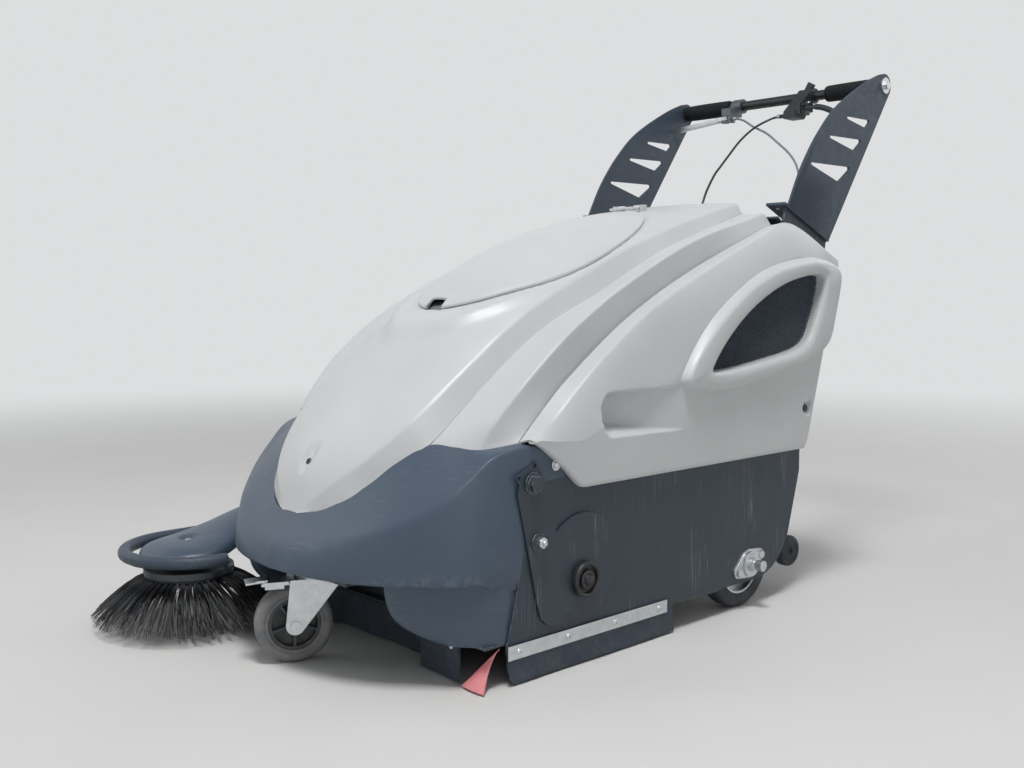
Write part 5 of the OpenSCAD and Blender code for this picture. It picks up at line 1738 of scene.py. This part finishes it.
@dataclass
class Rubber:
    """Side skirts, front and rear flaps and the coloured corner flap."""

    half_w: float = 308.0
    low: float = 4.0
    left: Table = ((4, 13), (10, 6), (24, 1.5), (40, 0.0), (62, 2))
    right: Table = ((4, 393), (30, 389.5), (55, 387), (60, 384), (62, 378))
    plan: Flat = ((250, -44), (150, -38), (128, 0), (-128, 0), (-150, -38), (-220, -42.2))
    strip_screws: Sequence[tuple[float, float]] = (
        (1.0, 166.0), (1.0, 202.0), (1.0, 236.0), (-1.0, 166.0), (-1.0, 202.0))

    def build(self) -> None:
        """Builds all rubber pieces, the screws of the front flap's strip and a dark sheet over that strip,
        drawn as painted shade.
        """
        self.skirts()
        self.flaps()
        self.strip()
        self.corner()

    def skirts(self) -> None:
        """Builds the two side skirts, whose lower edge is slightly wavy."""
        bm = bmesh.new()
        for sign in SIDES:
            def on_skirt(u: float, v: float) -> Vector:
                """Point of a skirt's outer face.

                Args:
                    u: share across the grid.
                    v: share along the grid.

                Returns:
                    The point in the row frame.
                """
                z = mix(self.low, 62.0, v)
                y = mix(curve(self.left, z), curve(self.right, z), u)
                wave = (1.1 * (1.0 - ease(v * 2.2))
                        * (0.5 + 0.5 * math.sin(y / 31.0 + 1.3 * math.sin(y / 77.0))))
                return mm(sign * (self.half_w + 2.9 + wave), y, z)

            lay_grid(bm, 110, 16, on_skirt, X * sign)
        dress(make("rubber_side_skirts", bm, 2.8), SKIRT_RUBBER, "chassis", ["side_skirts"], 45.0)

    def flaps(self) -> None:
        """Builds the front flap along its plan, and the rear flap."""
        bm = bmesh.new()
        line = evenly([Vector((x, y, 0)) for x, y in self.plan], 140)
        last = len(line) - 1

        def on_front(u: float, v: float) -> Vector:
            """Point of the front flap's face.

            Args:
                u: share across the grid.
                v: share along the grid.

            Returns:
                The point in the row frame.
            """
            p = line[round(u * last)]
            wave = 1.6 * (1.0 - ease(v * 1.6)) * math.sin(p.x / 23.0 + 0.6 * math.sin(p.x / 41.0))
            return mm(p.x, p.y - 0.4 + wave, mix(self.low, 63.6, v))

        lay_grid(bm, last, 14, on_front, -Y)

        def on_rear(u: float, v: float) -> Vector:
            """Point of the rear flap's face."""
            x = mix(-303.0, 303.0, u)
            return mm(x, 306.4 + 0.5 * math.sin(x / 40.0) * (1.0 - v), mix(self.low, 69.0, v))

        lay_grid(bm, 60, 8, on_rear, -Y)
        dress(make("rubber_flaps_front_rear", bm, 3.6), SKIRT_RUBBER, "chassis", ["rubber_flaps"], 45.0)

    def strip(self) -> None:
        """Builds the screws of the strip that clamps the front flap, and a dark sheet over the strip's front:
        painted shade under the bumper's lip.
        """
        bm = bmesh.new()
        for sign, x in self.strip_screws:
            pan_screw(bm, mm(sign * x, -42.6 - (x - 150.0) * 0.06, 57), -Y, 4.2)
        dress(make("flap_screws", bm), ZINC, "chassis", sharp=45.0)
        # dark painted-steel sheet over the plated strip: painted shade, where the strip lies in shadow under
        # the bumper
        bm = bmesh.new()
        for sign, end in ((1.0, 251.0), (-1.0, 221.0)):
            slab(bm, [mm(sign * 149.0, -40.4, 49.0), mm(sign * end, -45.9, 49.0), mm(sign * end, -45.9, 65.0),
                      mm(sign * 149.0, -40.4, 65.0)], -Y * 0.0022, 0.5)
        dress(make("flap_strip_painted_shade", bm), PAINTED_STEEL, "chassis", sharp=45.0)

    def corner(self) -> None:
        """Builds the coloured corner flap: a triangle with a hollow outer edge, slightly curled."""
        bm = bmesh.new()
        top, inner, outer = Vector((303, -11, 61)), Vector((263, -50, 4.4)), Vector((313, -51, 4.4))

        def on_corner(u: float, v: float) -> Vector:
            """Point of the corner flap's face.

            Args:
                u: share across the grid.
                v: share along the grid.

            Returns:
                The point in the row frame.
            """
            a = top.lerp(inner, 1.0 - v)
            c = top.lerp(outer, 1.0 - v) + Vector((-9.0, 4.0, 0.0)) * math.sin(math.pi * v)
            return mm(*(a.lerp(c, u) + Vector((0.5, -0.8, 0.0)) * (3.0 * math.sin(math.pi * u) * (1.0 - v))))

        lay_grid(bm, 14, 20, on_corner, -Y)
        dress(make("coloured_corner_flap", bm, 2.6), COLOURED_RUBBER, "chassis", ["corner_flaps"], 45.0)


# ---------------------------------------------------------------- wheels and brushes


@dataclass
class Wheels:
    """Tyres of the caster, the drive wheels and the hopper."""

    king_y: float = -122.0
    yaw: float = -25.0
    trail: float = 45.0
    caster_r: float = 62.5
    caster_w: float = 36.0
    drive_w: float = 40.0
    hopper_w: float = 24.0
    hopper_axle: tuple[float, float] = (808.0, 70.0)

    def caster(self, x: float, y: float, z: float) -> Vector:
        """Place of a point of the caster's own drawing."""
        turned = Matrix.Rotation(math.radians(self.yaw), 3, "Z") @ Vector((x, y, z))
        return mm(turned.x, turned.y + self.king_y, turned.z)

    def build(self) -> None:
        """Builds the tyres."""
        axis = (self.caster(1, 0, 0) - self.caster(0, 0, 0)).normalized()
        r, w = self.caster_r, self.caster_w
        bm = bmesh.new()
        side = [(42, 2.2), (44, 1.0), (46.5, 0.8), (47.2, 1.8), (48, 0.8), (51, 0.0), (54.5, 0.2),
                (57.5, 1.2), (60.4, 3.6), (62.0, 7.0), (r, 11.0)]
        ring = side + [(r, w / 2)] + mirrored(side, w)
        turn(bm, ring, self.caster(-w / 2, -self.trail, r), axis, 96, closed=True)
        dress(make("caster_tyre_ringed", bm), CASTER_RUBBER, "caster_wheel", ["caster_tyre"], 40.0)
        bm = bmesh.new()
        half = [(60, 3), (66, 1.4), (72, 0.6), (76, 0), (79.4, 0.8), (82.4, 3.2), (84.2, 6.2), (85, 9.2),
                (85, 12), (83.2, 12.6), (83.2, 14.4), (85, 15), (85, 19), (83.2, 19.4)]
        for x in (258.0, -298.0):
            turn(bm, half + mirrored(half, self.drive_w), mm(x, 612, 85), X, 96, closed=True)
        dress(make("drive_tyres_grooved", bm), TYRE_RUBBER, "drive_axle", ["wheel_tyres"], 40.0)
        bm = bmesh.new()
        side = [(5, 0), (10, 0), (11, 1.4), (17.5, 1.6), (18.6, 0.2), (20, 0), (22, 1.8), (25, 0.2),
                (28.6, 1.2), (30.4, 3.8), (31, 7.0)]
        ring = side + [(31, self.hopper_w / 2)] + mirrored(side, self.hopper_w)
        for x in (254.5, -278.5):
            turn(bm, ring, mm(x, *self.hopper_axle), X, 64)
        rod = [(0, -284), (4.4, -284), (5, -283.4), (5, 283.4), (4.4, 284), (0, 284)]
        turn(bm, rod, mm(0, *self.hopper_axle), X, 24)
        dress(make("hopper_wheels_turned", bm), TYRE_RUBBER, "hopper_wheels", ["hopper_wheels"], 40.0)


@dataclass
class Brushes:
    """Bristles of the main brush and the side brush, and the side brush's cover."""

    side_x: float = -325.0
    side_y: float = -188.0
    side_rings: Sequence[int] = (40, 44, 48, 48)
    side_tuft: int = 8
    shaft: tuple[float, float] = (163.0, 138.0)
    main_rows: int = 12
    main_strands: int = 92
    half: Table = ((-272, 14), (-266, 32), (-252, 55), (-230, 73), (-205, 83), (-180, 85), (-150, 78),
                   (-120, 66), (-90, 54), (-60, 42), (-36, 37), (-14, 34))
    mid: Table = ((-272, -325), (-180, -325), (-120, -334), (-60, -346), (-14, -350))
    top: Table = ((-272, 132), (-252, 143), (-230, 149), (-188, 154), (-150, 162), (-90, 180), (-36, 195),
                  (-14, 203))
    low: Table = ((-272, 126), (-188, 126), (-120, 137), (-60, 159), (-14, 176))

    def build(self) -> None:
        """Builds the cover and all bristles."""
        self.cover()
        self.side_bristles()
        self.main_bristles()

    def template(self, root: float, tip: float) -> bpy.types.Mesh:
        """One strand, 1 m long from the origin, that is copied and bent.

        Args:
            root: radius at its root in millimetres.
            tip: radius at its tip in millimetres.

        Returns:
            The strand's mesh.
        """
        bm = bmesh.new()
        bmesh.ops.create_cone(bm, cap_ends=True, segments=3, radius1=root / PER_M, radius2=tip / PER_M,
                              depth=1.0, matrix=Matrix.Translation((0, 0, 0.5)))
        upright = [e for e in bm.edges if abs(e.verts[0].co.z - e.verts[1].co.z) > 0.5]
        bmesh.ops.subdivide_edges(bm, edges=upright, cuts=4)
        mesh = bpy.data.meshes.new("strand")
        bm.to_mesh(mesh)
        bm.free()
        return mesh

    def plant(self, bm: Mesh, strand: bpy.types.Mesh, path: Callable[[float], Vector],
              layer: bmesh.types.BMLayerItem, tone: float) -> None:
        """Copies a strand along a path.

        Args:
            bm: the mesh to add to.
            strand: the strand's mesh.
            path: point in the row frame at a share of the strand's length.
            layer: attribute that holds each strand's tone.
            tone: the strand's tone from 0 to 1.
        """
        start = len(bm.verts)
        bm.from_mesh(strand)
        bm.verts.ensure_lookup_table()
        for vert in bm.verts[start:]:
            t = vert.co.z
            vert[layer] = tone * (0.5 + 0.5 * t)
            ahead = (path(min(1.0, t + 0.02)) - path(max(0.0, t - 0.02))).normalized()
            u = ahead.orthogonal().normalized()
            vert.co = path(t) + u * vert.co.x + ahead.cross(u) * vert.co.y

    def side_bristles(self) -> None:
        """Builds the side brush: dense curved strands in tufts round the disc, on a backing ring."""
        chance = random.Random(7)
        bm = bmesh.new()
        layer = bm.verts.layers.float.new(TONE)
        strand = self.template(0.9, 0.6)
        for ring, count in enumerate(self.side_rings):
            for k in range(count):
                tuft = chance.random()
                for _ in range(self.side_tuft):
                    a = math.tau * (k + 0.5 * (ring % 2)) / count + chance.gauss(0.0, 0.016)
                    root = 44.0 + 10.0 * ring + chance.uniform(-3.0, 3.0)
                    tip = min(167.0, 118.0 + 15.5 * ring + chance.gauss(0.0, 4.0))
                    z = max(18.2, 18.0 + 4.0 * (3 - ring) + abs(chance.gauss(0.0, 3.0)))
                    swing = chance.gauss(0.05, 0.045)

                    def path(t: float) -> Vector:
                        """Point along a strand that leans out and droops.

                        Args:
                            t: share of the strand's length.

                        Returns:
                            The point in the row frame.
                        """
                        r = mix(root, tip, t ** 0.85)
                        turned = a + swing * t * t
                        return mm(self.side_x + r * math.cos(turned), self.side_y + r * math.sin(turned),
                                  mix(90.0, z, t ** 1.15))

                    self.plant(bm, strand, path, layer, mix(tuft, chance.random(), 0.45))
        backing = [(40, 88), (77, 88), (77.5, 89), (77.5, 92.5), (40, 92.5)]
        turn(bm, backing, mm(self.side_x, self.side_y, 0), Z, 64, True)
        bpy.data.meshes.remove(strand)
        dress(make("side_brush_strands", bm), BRISTLE, "side_brush", ["side_brush_bristles"], 60.0)

    def main_bristles(self) -> None:
        """Builds the main brush: rows of strands in a slow spiral on a backing tube."""
        chance = random.Random(11)
        bm = bmesh.new()
        layer = bm.verts.layers.float.new(TONE)
        strand = self.template(1.0, 0.7)
        shaft_y, shaft_z = self.shaft
        for row in range(self.main_rows):
            for i in range(self.main_strands):
                x = mix(-280.0, 280.0, i / (self.main_strands - 1)) + chance.uniform(-2.0, 2.0)
                a = math.tau * row / self.main_rows + math.radians(x * 0.05) + chance.gauss(0.0, 0.02)
                tip = 132.0 - abs(chance.gauss(0.0, 2.0))
                lean = chance.gauss(0.0, 0.025)

                def path(t: float) -> Vector:
                    """Point along a strand.

                    Args:
                        t: share of the strand's length.

                    Returns:
                        The point in the row frame.
                    """
                    r = mix(44.0, tip, t)
                    return mm(x + 60.0 * lean * t, shaft_y + r * math.cos(a + lean * t * t),
                              shaft_z + r * math.sin(a + lean * t * t))

                self.plant(bm, strand, path, layer, chance.random() * 0.7)
        turn(bm, [(43.6, -286), (47, -286), (47, 286), (43.6, 286)], mm(0, *self.shaft), X, 64, True)
        bpy.data.meshes.remove(strand)
        dress(make("main_brush_strands", bm), BRISTLE, "main_brush", ["brush_bristles"], 60.0)

    def cover(self) -> None:
        """Builds the side brush's cover: a dome on its axis, drawn out to the pivot, with a screw dimple."""
        bm = bmesh.new()

        def on_cover(u: float, v: float) -> Vector:
            """Point of the cover's grid.

            Args:
                u: share across the grid.
                v: share along the grid.

            Returns:
                The point in the row frame.
            """
            y = mix(-272.0, -14.0, v ** 1.1)
            a = math.pi * (1.0 - u)
            x = curve(self.mid, y) + curve(self.half, y) * math.cos(a)
            z = mix(curve(self.low, y), curve(self.top, y), max(0.0, math.sin(a)) ** 0.62)
            return mm(x, y, z - dimple((x - self.side_x) / 17.0, (y - self.side_y) / 17.0, 7.0, 0.7))

        lay_grid(bm, 56, 90, on_cover, Z)
        dress(make("side_brush_dome", bm, 2.5), ANTHRACITE, "side_arm", ["side_brush_cover"], 45.0)
        bm = bmesh.new()
        pan_screw(bm, mm(self.side_x, self.side_y, 146.6), Z, 7.0)
        dress(make("dome_screw", bm), ZINC, "side_arm", sharp=45.0)


# ---------------------------------------------------------------- handle


@dataclass
class Handle:
    """Foam grips and small fittings of the handlebar."""

    bar_y: float = 1147.0
    bar_z: float = 1031.0
    outer: float = 262.0
    length: float = 132.0

    def build(self) -> None:
        """Builds the grips, the cables' ferrules, the housings' screws and the clamp's nut."""
        bm = bmesh.new()
        n = self.length
        profile = [(11.0, 0.4), (14.5, 0.0), (16.6, 0.9), (17.6, 3.2), (17.9, 7.0), (18.3, 30.0),
                   (18.5, n / 2), (18.3, n - 30), (17.9, n - 9), (17.4, n - 6.4), (16.6, n - 5.6),
                   (16.6, n - 4.4), (17.6, n - 3.6), (17.4, n - 1.4), (16.0, n - 0.2), (11.0, n)]
        for sign in SIDES:
            turn(bm, profile, mm(sign * (self.outer - n), self.bar_y, self.bar_z), X * sign, 56)
        grips = dress(make("foam_grips", bm), FOAM, "chassis", ["grips"], 50.0)
        bm = bmesh.new()
        ferrule = [(3.0, 0), (4.6, 0.4), (4.8, 2), (4.8, 6), (4.0, 7), (3.6, 11), (2.6, 11.4)]
        turn(bm, ferrule, mm(-92, 1101, 996), X, 24)
        turn(bm, ferrule, mm(39, 1101, 987), -X, 24)
        for x in (-112, 112):
            pan_screw(bm, mm(x, 1100, 1008), Z, 6.0)
        hexagon(bm, mm(-107, 1118, 1022), Vector((0, -0.3, 0.95)), 5.0, 3.5)
        dress(make("handle_ferrule_and_pins", bm), CAST_ALUMINIUM, "chassis", sharp=45.0)


def main() -> None:
    """Builds the sub-assemblies in order."""
    logging.basicConfig(level=logging.INFO, format="%(message)s")
    studio = Studio()
    studio.camera()
    hood = Hood()
    for assembly in (Cables(), hood, Lid(hood), SidePanels(hood), Bumper(), Metalwork(), Fasteners(),
                     Rubber(), Wheels(), Brushes(), Handle()):
        assembly.build()
    studio.light()


if __name__ == "__main__":
    main()
